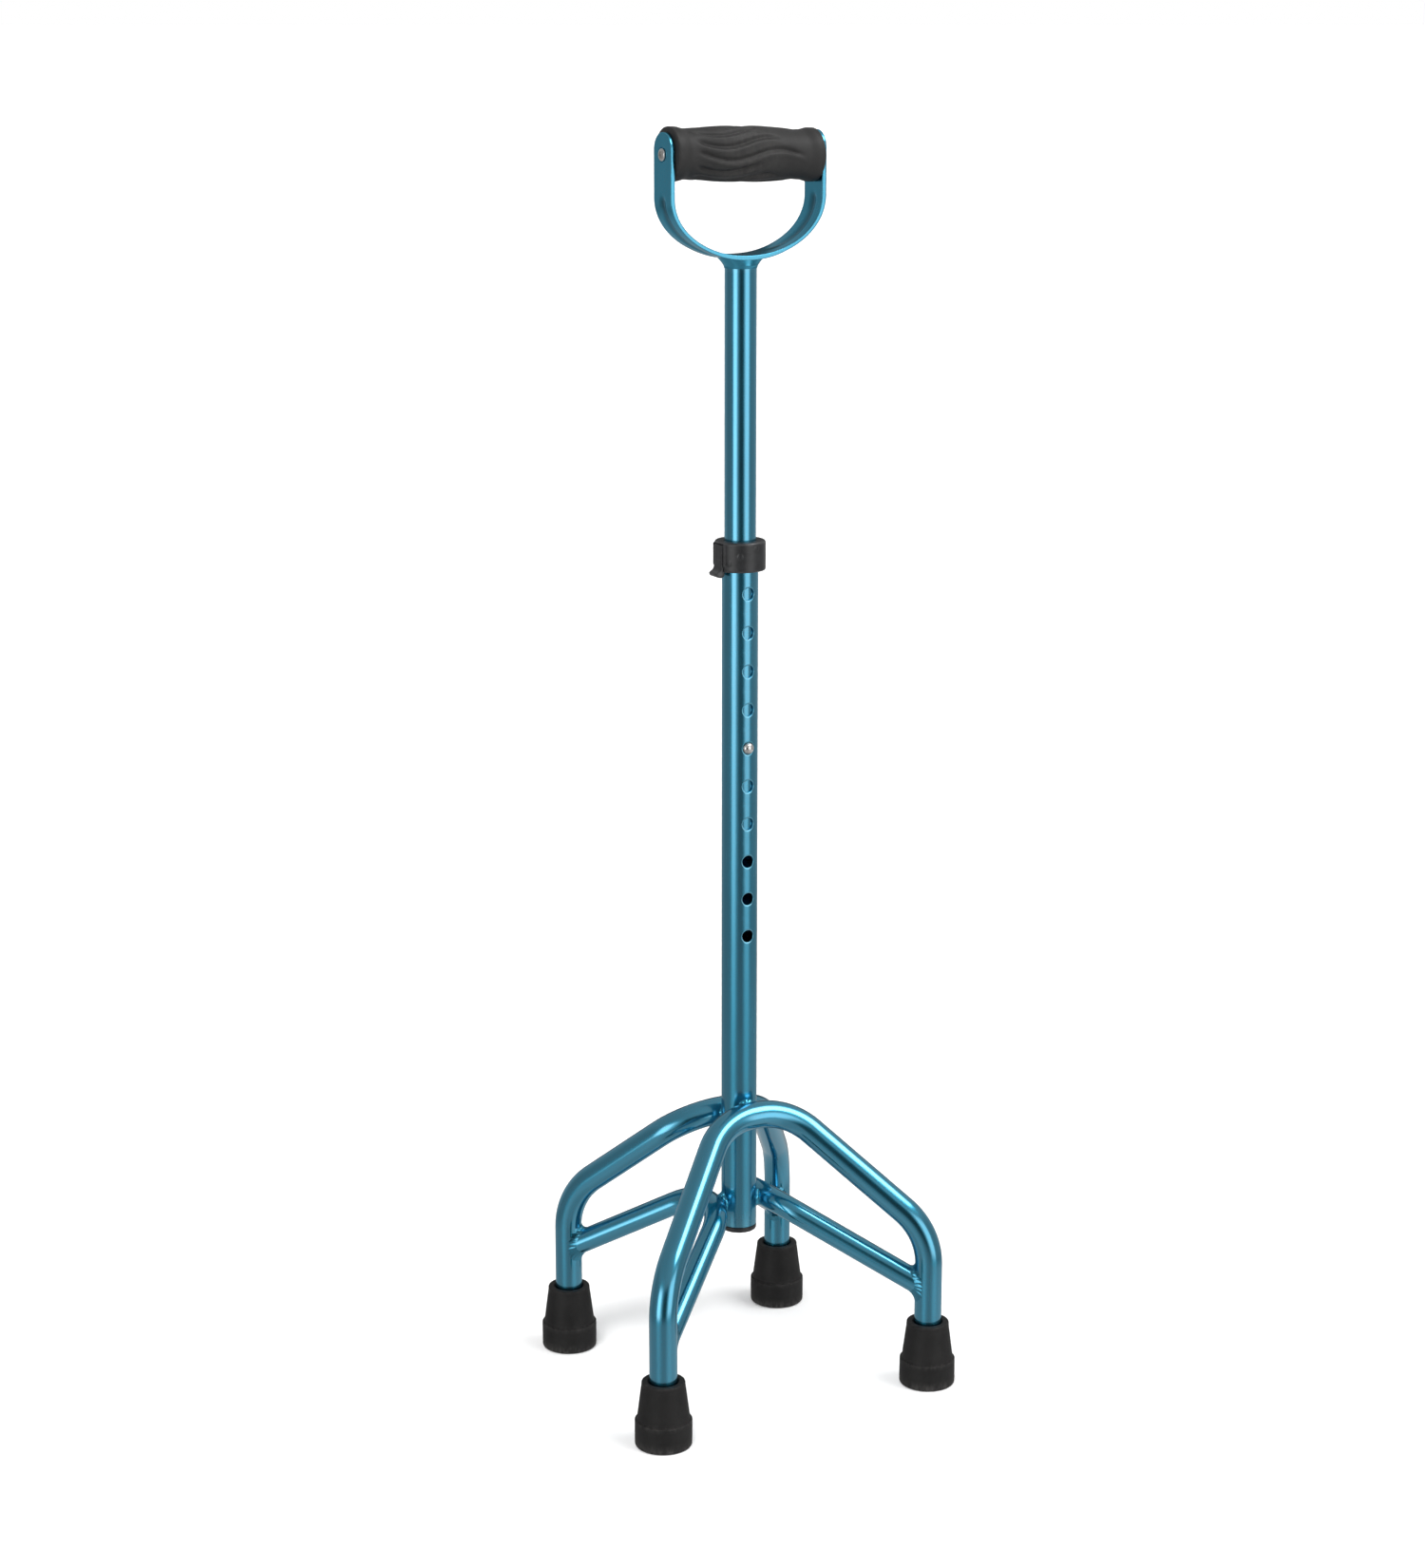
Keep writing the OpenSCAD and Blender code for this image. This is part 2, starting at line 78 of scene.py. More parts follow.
class Graph:
    """A short way to write a node graph. A socket takes a number, a colour or another node's output."""

    def __init__(self, tree):
        self.tree = tree
        tree.nodes.clear()

    def add(self, kind, links=None, **props):
        node = self.tree.nodes.new(kind)
        for key, value in props.items():
            setattr(node, key, value)
        return self.set(node, links or {})

    def set(self, node, links):
        for key, value in links.items():
            self.put(node.inputs[key], value)
        return node

    def put(self, socket, value):
        if isinstance(value, bpy.types.NodeSocket):
            self.tree.links.new(value, socket)
        elif isinstance(value, bpy.types.Node):
            self.tree.links.new(value.outputs[0], socket)
        else:
            socket.default_value = value

    def math(self, op, a, b, clamp=False):
        return self.add("ShaderNodeMath", {0: a, 1: b}, operation=op, use_clamp=clamp).outputs[0]

    def plus(self, a, b):
        return self.math("ADD", a, b)

    def times(self, a, b, clamp=False):
        return self.math("MULTIPLY", a, b, clamp)

    def less(self, value):
        """What the value leaves of 1."""
        return self.math("SUBTRACT", 1.0, value)

    def blend(self, factor, a, b):
        """The number a where the factor is 0, and b where it is 1."""
        return self.plus(self.times(b, factor), self.times(a, self.less(factor)))

    def ranged(self, value, a, b, low=0.0, high=1.0, shape="LINEAR"):
        """The value's place between a and b, as a number from low to high."""
        links = {0: value, 1: a, 2: b, 3: low, 4: high}
        return self.add("ShaderNodeMapRange", links, interpolation_type=shape, clamp=True).outputs[0]

    def soft(self, value, a, b, low=0.0, high=1.0):
        return self.ranged(value, a, b, low, high, "SMOOTHSTEP")

    def scaled(self, vector, scale):
        return self.add("ShaderNodeVectorMath", {0: vector, 1: scale}, operation="MULTIPLY").outputs[0]

    def place(self):
        return self.add("ShaderNodeTexCoord").outputs["Object"]

    def wear(self):
        return self.add("ShaderNodeAttribute", attribute_name="wear").outputs["Fac"]

    def noise(self, vector, scale, detail=3.0, rough=0.55, distort=0.0):
        return self.add("ShaderNodeTexNoise", {
            "Vector": vector, "Scale": scale, "Detail": detail, "Roughness": rough, "Distortion": distort
        }).outputs["Fac"]

    def mix(self, factor, a, b):
        return self.add("ShaderNodeMix", {0: factor, 6: a, 7: b}, data_type="RGBA").outputs[2]

    def bump(self, height, strength, distance, normal=None):
        node = self.add("ShaderNodeBump", {"Height": height, "Strength": strength, "Distance": distance})
        if normal is not None:
            self.put(node.inputs["Normal"], normal)
        return node.outputs[0]


def new_material(name):
    material = bpy.data.materials.new(name)
    material.use_nodes = True
    graph = Graph(material.node_tree)
    shader = graph.add("ShaderNodeBsdfPrincipled")
    graph.add("ShaderNodeOutputMaterial", {0: shader})
    return material, graph, shader


def anodised_metal(name, flow=True, coat=1.0):
    """Glossy teal anodised aluminium: fine lines along the tube, paler where wear is above 0, and darkened with painted
    shade where it is below 0.
    """
    material, g, shader = new_material(name)
    place = g.add("ShaderNodeAttribute", attribute_name="flow").outputs["Vector"] if flow else g.place()
    wear = g.wear()
    lines = g.noise(g.scaled(place, (1.0, 1.0, 0.02) if flow else (1.0, 1.0, 1.0)), 1900, 4)
    broad = g.noise(g.scaled(place, (1.0, 1.0, 0.25)), 55, 3)
    grain = g.noise(place, 4200, 2)
    scratch = g.noise(g.scaled(place, (1.0, 0.8, 0.03)), 620, 5, 0.7, 0.4)
    scratched = g.ranged(scratch, 0.66, 0.74)
    rubbed = g.times(wear, g.ranged(grain, 0.35, 0.6, 0.25, 1.0), clamp=True)
    teal, light_teal, line_dye = (0.015, 0.278, 0.430, 1), (0.022, 0.316, 0.490, 1), (0.010, 0.22, 0.35, 1)
    scratch_tint, rubbed_tint, painted_shade_tint = (0.12, 0.48, 0.60, 1), (0.24, 0.55, 0.66, 1), (0.003, 0.085, 0.135, 1)
    tint = g.mix(g.ranged(broad, 0.3, 0.7), teal, light_teal)
    tint = g.mix(g.ranged(lines, 0.35, 0.65, 0.0, 0.16), tint, line_dye)
    tint = g.mix(g.times(scratched, 0.25), tint, scratch_tint)
    tint = g.mix(g.times(rubbed, 0.35), tint, rubbed_tint)
    # Painted shade: where the wear attribute is below 0, the tint is darkened towards a deep teal.
    tint = g.mix(g.times(wear, -0.85, clamp=True), tint, painted_shade_tint)
    rough = g.plus(g.ranged(lines, 0.3, 0.7, 0.21, 0.26), g.ranged(broad, 0.3, 0.7, -0.015, 0.03))
    rough = g.plus(rough, g.times(rubbed, 0.10))
    rough = g.plus(rough, g.times(scratched, 0.06))
    height = g.plus(g.times(lines, 0.7), g.times(grain, 0.25))
    g.set(shader, {
        "Base Color": tint, "Metallic": 1.0, "Roughness": rough, "Normal": g.bump(height, 0.10, 0.00003),
        "Coat Weight": coat, "Coat Roughness": 0.05, "Coat IOR": 1.8, "Specular Tint": (0.35, 0.78, 0.92, 1)
    })
    return material


def rubber(name, dark, light, rough, grain_size, coarse, shine):
    """Matt moulded rubber with a fine grain, uneven bloom, and dust where wear says so."""
    material, g, shader = new_material(name)
    place = g.place()
    wear = g.wear()
    grain = g.noise(place, 1.0 / grain_size, 3, 0.6)
    pores = g.noise(place, 0.45 / grain_size, 2, 0.5)
    bloom = g.noise(place, 70, 4, 0.6)
    scuff = g.noise(g.scaled(place, (1.0, 1.0, 0.35)), 420, 5, 0.7)
    dusty = g.times(wear, g.ranged(scuff, 0.42, 0.62, 0.1, 1.0), clamp=True)
    tint = g.mix(g.ranged(bloom, 0.3, 0.7), dark, light)
    tint = g.mix(g.ranged(pores, 0.58, 0.72, 0.0, 0.35), tint, (0.004, 0.004, 0.004, 1))
    tint = g.mix(g.times(dusty, 0.45), tint, (0.11, 0.105, 0.10, 1))
    rough_out = g.plus(g.ranged(grain, 0.3, 0.7, rough - 0.06, rough + 0.07), g.times(dusty, 0.15))
    fine = g.bump(grain, 0.35, grain_size * 0.10)
    normal = g.bump(g.plus(pores, g.times(scuff, coarse)), 0.3, grain_size * 0.2, fine)
    g.set(shader, {"Base Color": tint, "Roughness": rough_out, "Normal": normal, "Specular IOR Level": shine})
    return material


def plastic(name, dark, light, rough):
    """Injection-moulded black plastic: spark-eroded grain, faint flow marks, polished where it is handled."""
    material, g, shader = new_material(name)
    place = g.place()
    wear = g.wear()
    grain = g.noise(place, 2600, 3, 0.6)
    flow = g.noise(g.scaled(place, (1.0, 1.0, 2.2)), 110, 3, 0.5, 0.8)
    nicks = g.ranged(g.noise(place, 640, 5, 0.75), 0.66, 0.72)
    handled = g.times(wear, g.ranged(flow, 0.3, 0.7, 0.5, 1.0), clamp=True)
    tint = g.mix(g.ranged(flow, 0.3, 0.7), dark, light)
    tint = g.mix(g.times(nicks, 0.3), tint, (0.10, 0.10, 0.105, 1))
    tint = g.mix(g.times(handled, 0.35), tint, (0.075, 0.075, 0.08, 1))
    rough_out = g.math("SUBTRACT", g.ranged(grain, 0.3, 0.7, rough - 0.05, rough + 0.06), g.times(handled, 0.12))
    normal = g.bump(grain, 0.35, 0.00004, g.bump(nicks, 0.2, 0.00003))
    g.set(shader, {"Base Color": tint, "Roughness": rough_out, "Normal": normal})
    return material


def steel(name, rough, lines=(1.0, 1.0, 1.0)):
    """Plated or brushed steel with fine lines, faint tarnish and small bright scratches."""
    material, g, shader = new_material(name)
    place = g.place()
    brushed = g.noise(g.scaled(place, lines), 2400, 4)
    tarnish = g.noise(place, 260, 4, 0.65)
    specks = g.ranged(g.noise(place, 1500, 4, 0.7), 0.62, 0.70)
    tint = g.mix(g.ranged(tarnish, 0.35, 0.7), (0.72, 0.72, 0.71, 1), (0.52, 0.51, 0.49, 1))
    tint = g.mix(g.times(specks, 0.4), tint, (0.24, 0.23, 0.22, 1))
    rough_out = g.plus(g.ranged(brushed, 0.3, 0.7, rough - 0.05, rough + 0.08), g.times(specks, 0.2))
    normal = g.bump(brushed, 0.15, 0.00003)
    g.set(shader, {"Base Color": tint, "Metallic": 1.0, "Roughness": rough_out, "Normal": normal})
    return material


blue = anodised_metal("anodised_blue")
blue_plain = anodised_metal("anodised_blue_cast", flow=False, coat=0.55)
foot_rubber = rubber("foot_rubber", (0.0070, 0.0068, 0.0068, 1), (0.0115, 0.0111, 0.0110, 1), 0.55,
                     grain_size=0.0004, coarse=0.5, shine=0.20)
grip_rubber = rubber("grip_rubber", (0.013, 0.0127, 0.0127, 1), (0.019, 0.0185, 0.0185, 1), 0.55,
                     grain_size=0.00032, coarse=0.3, shine=0.36)
black_plastic = plastic("black_plastic", (0.008, 0.0085, 0.0092, 1), (0.014, 0.0145, 0.016, 1), 0.36)
bush_plastic = plastic("bush_plastic", (0.020, 0.020, 0.021, 1), (0.036, 0.035, 0.035, 1), 0.5)
plated_steel = steel("plated_steel", 0.24)
brushed_steel = steel("brushed_steel", 0.32, (1.0, 1.0, 0.03))


# ---- mesh helpers ----

def unit(v):
    v = np.asarray(v, float)
    return v / np.linalg.norm(v, axis=-1, keepdims=True)


def smoothstep(a, b, x):
    t = np.clip((np.asarray(x, float) - a) / (b - a), 0, 1)
    return t * t * (3 - 2 * t)


def add_piece(name, verts, faces, body, material, nodes=(), slot=None, flow=None, wear=None, sharp=32):
    """Makes a mesh piece from mm coordinates, shades it smooth up to an angle, and ties it to the frame."""
    points = np.asarray(verts, float).copy()
    stretch = points if flow is None else np.asarray(flow, float)
    points[:, 1] += POST_Y
    mesh = bpy.data.meshes.new(name)
    mesh.from_pydata((points * MM).tolist(), [], [list(map(int, f)) for f in faces])
    mesh.validate()
    obj = bpy.data.objects.new(name, mesh)
    scene.collection.objects.link(obj)
    mesh.materials.append(material)
    outward(mesh)
    mesh.polygons.foreach_set("use_smooth", [True] * len(mesh.polygons))
    mesh.set_sharp_from_angle(angle=math.radians(sharp))
    mesh.attributes.new("flow", "FLOAT_VECTOR", "POINT").data.foreach_set("vector", (stretch * MM).ravel())
    # wear above 0 is real wear; on the anodised metal, wear below 0 paints shade.
    worn = np.zeros(len(points)) if wear is None else np.asarray(wear, float)
    mesh.attributes.new("wear", "FLOAT", "POINT").data.foreach_set("value", worn)
    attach(obj, body)
    if nodes:
        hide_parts(*nodes)
    return obj


def outward(mesh):
    """Turns every face of a closed mesh outwards."""
    bm = bmesh.new()
    bm.from_mesh(mesh)
    bmesh.ops.recalc_face_normals(bm, faces=bm.faces)
    bm.to_mesh(mesh)
    bm.free()


def skin(rings, loop=False):
    """Points, and quads between successive closed rings of them."""
    rings = np.asarray(rings, float)
    m, n = rings.shape[:2]
    i, j = np.arange(m if loop else m - 1)[:, None], np.arange(n)
    a, b = i * n + j, i * n + (j + 1) % n
    c, d = ((i + 1) % m) * n + (j + 1) % n, ((i + 1) % m) * n + j
    return rings.reshape(-1, 3), np.stack([a, b, c, d], -1).reshape(-1, 4).tolist()


def capped(rings):
    """A skin whose two ends are closed by fans round their middles."""
    verts, faces = skin(rings)
    m, n = np.asarray(rings).shape[:2]
    ends = np.array([np.mean(rings[0], axis=0), np.mean(rings[-1], axis=0)])
    a, b = len(verts), len(verts) + 1
    faces += [[a, (j + 1) % n, j] for j in range(n)]
    faces += [[b, (m - 1) * n + j, (m - 1) * n + (j + 1) % n] for j in range(n)]
    return np.vstack([verts, ends]), faces


def join(*parts):
    """One list of points and faces from several."""
    verts, faces, base = [], [], 0
    for v, f in parts:
        verts.append(v)
        faces += [[i + base for i in face] for face in f]
        base += len(v)
    return np.vstack(verts), faces


def rounded(profile, bends, steps=6):
    """A polyline with its corners rounded: bends gives each inner corner's reach."""
    p = [np.array(q, float) for q in profile]
    out = [p[0]]
    for i in range(1, len(p) - 1):
        r = bends[i - 1]
        if r <= 0:
            out.append(p[i])
            continue
        a = p[i] + unit(p[i - 1] - p[i]) * min(r, 0.49 * np.linalg.norm(p[i - 1] - p[i]))
        b = p[i] + unit(p[i + 1] - p[i]) * min(r, 0.49 * np.linalg.norm(p[i + 1] - p[i]))
        for t in np.linspace(0, 1, steps + 1):
            out.append((1 - t) ** 2 * a + 2 * t * (1 - t) * p[i] + t * t * b)
    out.append(p[-1])
    return np.array(out)


def divided(points, gap):
    """A polyline with its long steps divided."""
    out = []
    for p, q in zip(points[:-1], points[1:]):
        count = max(1, int(np.linalg.norm(q - p) // gap))
        out += [p + (q - p) * k / count for k in range(count)]
    return np.array(out + [points[-1]])


def around(n):
    """n angles evenly round a circle."""
    return np.arange(n) * 2 * math.pi / n


def lathe(profile, n=96):
    """Rings of a profile (radius, height) turned about the z axis."""
    r, h = np.asarray(profile, float).T
    circle = np.stack([np.cos(around(n)), np.sin(around(n))], -1)
    return np.concatenate([r[:, None, None] * circle, np.repeat(h[:, None, None], n, 1)], -1)


def bend_path(corners, radii):
    """Points of a centre line with a bend at each inner corner, every 2.5 degrees, and the tangent at each point."""
    p = np.asarray(corners, float)
    pts, tans = [p[0]], [unit(p[1] - p[0])]
    for i in range(1, len(p) - 1):
        u, v = unit(p[i] - p[i - 1]), unit(p[i + 1] - p[i])
        turn = math.acos(float(np.clip(u @ v, -1, 1)))
        reach = radii[i - 1] * math.tan(turn / 2)
        centre = p[i] + unit(v - u) * radii[i - 1] / math.cos(turn / 2)
        x, y = unit(p[i] - u * reach - centre), u
        count = max(2, math.ceil(math.degrees(turn) / 2.5))
        for t in np.linspace(0, turn, count + 1):
            pts.append(centre + radii[i - 1] * (x * math.cos(t) + y * math.sin(t)))
            tans.append(y * math.cos(t) - x * math.sin(t))
    pts.append(p[-1])
    tans.append(unit(p[-1] - p[-2]))
    return np.array(pts), np.array(tans)


def frames_along(tans):
    """Two cross directions at each point, carried along without twist."""
    u = unit(np.cross(tans[0], [0.3, 0.2, 1.0] if abs(tans[0][2]) < 0.9 else [0.0, 1.0, 0.1]))
    us = [u]
    for t in tans[1:]:
        u = unit(us[-1] - (us[-1] @ t) * t)
        us.append(u)
    us = np.array(us)
    return us, np.cross(tans, us)


ROUND = 72  # points round a bent tube


def rings_on(pts, us, vs, radius):
    """Circles of one radius round each point, across the two directions given there."""
    a = around(ROUND)
    return pts[:, None] + radius * (np.cos(a)[:, None] * us[:, None] + np.sin(a)[:, None] * vs[:, None])


def sweep(pts, tans, radius):
    """Rings of a round tube along a centre line."""
    return rings_on(pts, *frames_along(tans), radius)


def densify(pts, tans, gap=12.0):
    """Adds points on the straights, so that no two are further apart than the gap."""
    new_p, new_t = [pts[0]], [tans[0]]
    for i in range(1, len(pts)):
        length = np.linalg.norm(pts[i] - pts[i - 1])
        count = max(1, math.ceil(length / gap))
        for k in range(1, count + 1):
            new_p.append(pts[i - 1] + (pts[i] - pts[i - 1]) * k / count)
            new_t.append(tans[i] if k == count else unit(tans[i - 1] * (1 - k / count) + tans[i] * k / count))
    return np.array(new_p), np.array(new_t)


def tube_flow(pts, radius):
    """Texture places on a swept tube's outer and inner wall: round it and along it."""
    along = np.concatenate([[0], np.cumsum(np.linalg.norm(np.diff(pts, axis=0), axis=1))])
    one = lathe(np.stack([np.full(len(pts), radius), along], -1), ROUND)
    return np.concatenate([one, one[::-1]]).reshape(-1, 3)


def nearest(path, p):
    """The closest point of a polyline to each point p."""
    a, b = path[:-1], path[1:]
    d = b - a
    t = np.clip(((p[:, None] - a) * d).sum(-1) / (d * d).sum(-1), 0, 1)
    q = a + t[..., None] * d
    k = np.linalg.norm(q - p[:, None], axis=-1).argmin(1)
    return q[np.arange(len(p)), k]


def on_tube(path, radius, p):
    """Each point p moved onto a tube's surface, and the outward direction there."""
    q = nearest(path, p)
    n = unit(p - q)
    return q + n * radius, n


# ---- base tubes ----

post_lo, post_hi = box_mm("outer_post")
POST_R = (post_hi[0] - post_lo[0]) / 2
ARCH_R, BRACE_R = 9.0, 7.75
TUBE_WALL, ARCH_WALL, BRACE_WALL = 1.2, 1.6, 1.5
POST_IN_R = POST_R - TUBE_WALL
ARCH_BENDS, BRACE_BEND = [48, 44, 44, 48], 37
LEG_END, LEG_CLEAR = 14.0, 21.0
FRONT_X, FRONT_Y = 99.5, -79.5
REAR_X, REAR_Y = 82.0, 90.5
ARCH_Y = POST_R + ARCH_R + 0.15


def arch(name, node, x, y, knee, half_top, top_y):
    """One bent tube that makes two legs and the top between them. Returns its centre line and its top's height."""
    top = box_mm(node)[1][2] - ARCH_R
    right = [(half_top, top_y, top), (x, y, knee), (x, y, LEG_END)]
    left = [(-cx, cy, cz) for cx, cy, cz in reversed(right)]
    pts, tans = densify(*bend_path(left + right, ARCH_BENDS))
    rings = np.concatenate([sweep(pts, tans, ARCH_R), sweep(pts, tans, ARCH_R - ARCH_WALL)[::-1]])
    verts, faces = skin(rings, loop=True)
    add_piece(name, verts, faces, "base", blue, [node], "blue_metal", tube_flow(pts, ARCH_R))
    return pts, top


front_path, front_top = arch("front_arch", "front_arch_tube", FRONT_X, FRONT_Y, 106, 24, -ARCH_Y)
rear_path, rear_top = arch("rear_arch", "rear_arch_tube", REAR_X, REAR_Y, 109.5, 28, ARCH_Y)
post_path = np.array([[0, 0, 0], [0, 0, 600.0]])


def leg_cut(direction, us, vs, radius, n, leg_r):
    """How far along a brace its surface lines leave the vertical leg at its end, and their offsets."""
    w = radius * (np.cos(around(n))[:, None] * us + np.sin(around(n))[:, None] * vs)
    dh, wh = direction[:2], w[:, :2]
    along = wh @ dh
    s = (-along + np.sqrt(along ** 2 - (dh @ dh) * ((wh ** 2).sum(1) - leg_r ** 2))) / (dh @ dh)
    return s, w


def brace(name, node, side):
    """A V-shaped brace, cut to the legs. Returns its centre line, and the place and directions of each end."""
    corners = [(side * FRONT_X, FRONT_Y, 66), (side * 0.3, 4, 134.5), (side * REAR_X, REAR_Y, 71)]
    pts, tans = densify(*bend_path(corners, [BRACE_BEND]))
    from_end = np.minimum(np.linalg.norm(pts - pts[0], axis=1), np.linalg.norm(pts - pts[-1], axis=1))
    clear = from_end > LEG_CLEAR
    us, vs = (directions[clear] for directions in frames_along(tans))
    ends = ((pts[0], tans[0], us[0], vs[0]), (pts[-1], -tans[-1], us[-1], vs[-1]))
    shells = []
    for radius in (BRACE_R, BRACE_R - BRACE_WALL):
        rims = []
        for end, *directions in ends:
            s, w = leg_cut(*directions, radius, ROUND, ARCH_R - 0.2)
            rims.append((end + s[:, None] * directions[0] + w)[None])
        shells.append(np.concatenate([rims[0], rings_on(pts[clear], us, vs, radius), rims[1]]))
    verts, faces = skin(np.concatenate([shells[0], shells[1][::-1]]), loop=True)
    mids = np.concatenate([pts[:1], pts[clear], pts[-1:]])
    add_piece(name, verts, faces, "base", blue, [node], "blue_metal", tube_flow(mids, BRACE_R))
    return pts, ends


right_path, right_ends = brace("right_brace", "right_brace_tube", 1)
left_path, left_ends = brace("left_brace", "left_brace_tube", -1)


# ---- welds ----

def bead(feet_a, feet_b, root, normal_a, normal_b, waves, ripple, hollow, phase):
    """A closed ring of weld metal between two surfaces, with the crescent ripples of a hand-laid bead."""
    k = around(len(root))
    pull = root * hollow + (feet_a + feet_b) / 2 * (1 - hollow)
    out = unit(normal_a + normal_b)
    section = [feet_a - normal_a * 0.45, feet_a - normal_a * 0.03]
    for t in np.linspace(0, 1, 9)[1:-1]:
        p = (1 - t) ** 2 * feet_a + 2 * t * (1 - t) * pull + t * t * feet_b
        crest = 4 * t * (1 - t)
        wave = np.cos(waves * k + phase + 8.8 * (t - 0.5) ** 2)
        wave += 0.35 * np.cos(waves * 0.5 * k + 1.3 + phase)
        section.append(p + out * (ripple * crest * wave)[:, None])
    section += [feet_b - normal_b * 0.03, feet_b - normal_b * 0.45, root - out * 1.2]
    return skin(np.stack(section, 1), loop=True)


def leg_bead(brace_end, phase):
    """The weld round a brace's end, on its leg."""
    end, direction, us, vs = brace_end
    a = around(144)
    s, w = leg_cut(direction, us, vs, BRACE_R, len(a), ARCH_R)
    root = end + s[:, None] * direction + w
    radial = unit(w)
    leg_axis = np.array([[*end[:2], 0.0], [*end[:2], 200.0]])
    _, leg_normal = on_tube(leg_axis, ARCH_R, root)
    size = 4.5 + 0.30 * np.cos(3 * a + phase) + 0.15 * np.cos(7 * a + 2 * phase)
    feet_a = root + direction * size[:, None]
    away = unit(radial - (radial * leg_normal).sum(1)[:, None] * leg_normal)
    feet_b, normal_b = on_tube(leg_axis, ARCH_R, root + away * size[:, None])
    return bead(feet_a, feet_b, root, radial, normal_b, waves=26, ripple=0.12, hollow=0.72, phase=phase)


def touch_bead(path, radius, near, grow, phase):
    """The weld where a tube passes close by the post, as a ring round the place where they touch."""
    fine = densify(path, path, 1.0)[0]
    q = nearest(fine, np.array([near]))[0]
    up = np.array([0, 0, 1.0])
    flat = unit(q * [1, 1, 0])
    start = q[2] * up + flat * (POST_R + (np.hypot(q[0], q[1]) - POST_R - radius) / 2)
    a = around(120)
    ray = np.cos(a)[:, None] * unit(np.cross(up, flat)) + np.sin(a)[:, None] * up

    def gap(rho):
        p = start + ray * rho[:, None]
        return (np.linalg.norm(p - nearest(post_path, p), axis=1) - POST_R
                + np.linalg.norm(p - nearest(fine, p), axis=1) - radius)

    def reach(target):
        """Where the gap between the two tubes has grown to the target, by halving."""
        low, high = np.full(len(a), 0.5), np.full(len(a), 9.5)
        for _ in range(24):
            mid = (low + high) / 2
            over = gap(mid) > target
            low, high = np.where(over, low, mid), np.where(over, mid, high)
        return start + ray * ((low + high) / 2)[:, None]

    wide = grow * (1 + 0.10 * np.cos(3 * a + phase) + 0.06 * np.cos(5 * a + 2 * phase))
    outer = reach(wide)
    feet_a, normal_a = on_tube(post_path, POST_R, outer)
    feet_b, normal_b = on_tube(fine, radius, outer)
    return bead(feet_a, feet_b, reach(wide * 0.42), normal_a, normal_b, waves=14, ripple=0.22, hollow=0.45, phase=phase)


def welds(name, node, beads, wear=0.0):
    """One piece of one or more beads."""
    verts, faces = join(*beads)
    add_piece(name, verts, faces, "base", blue_plain, [node], "blue_metal", wear=np.full(len(verts), wear), sharp=50)


# Painted shade: the leg beads get wear below 0, which darkens their tint.
welds("brace_leg_beads", "brace_leg_welds",
      [leg_bead(end, phase) for end, phase in zip(right_ends + left_ends, (0.4, 1.9, 3.1, 4.6))], wear=-0.45)
welds("front_arch_bead", "front_arch_weld", [touch_bead(front_path, ARCH_R, (0, -ARCH_Y, front_top), 3.4, 0.5)])
welds("rear_arch_bead", "rear_arch_weld", [touch_bead(rear_path, ARCH_R, (0, ARCH_Y, rear_top), 3.4, 2.0)])
welds("brace_post_beads", "brace_post_welds", [
    touch_bead(right_path, BRACE_R, (19.6, 5.1, 120.3), 3.6, 1.1),
    touch_bead(left_path, BRACE_R, (-19.6, 5.1, 120.3), 3.6, 2.6)
])


# ---- post and upper tube, with real round holes ----

upper_lo, upper_hi = box_mm("upper_tube")
UPPER_R = (upper_hi[0] - upper_lo[0]) / 2
POST_Z0 = post_lo[2] + 2.0
TOP_HOLE, PITCH = 530.7, 25.0
hole_heights = [TOP_HOLE - PITCH * i for i in range(10)]
BUTTON_Z = hole_heights[4]
PATCH = 12  # mesh cells across the square patch round each hole, and along it


def ring_faces(a, b):
    """Quads between two closed rings of point numbers."""
    return [[a[j], a[(j + 1) % len(a)], b[(j + 1) % len(a)], b[j]] for j in range(len(a))]


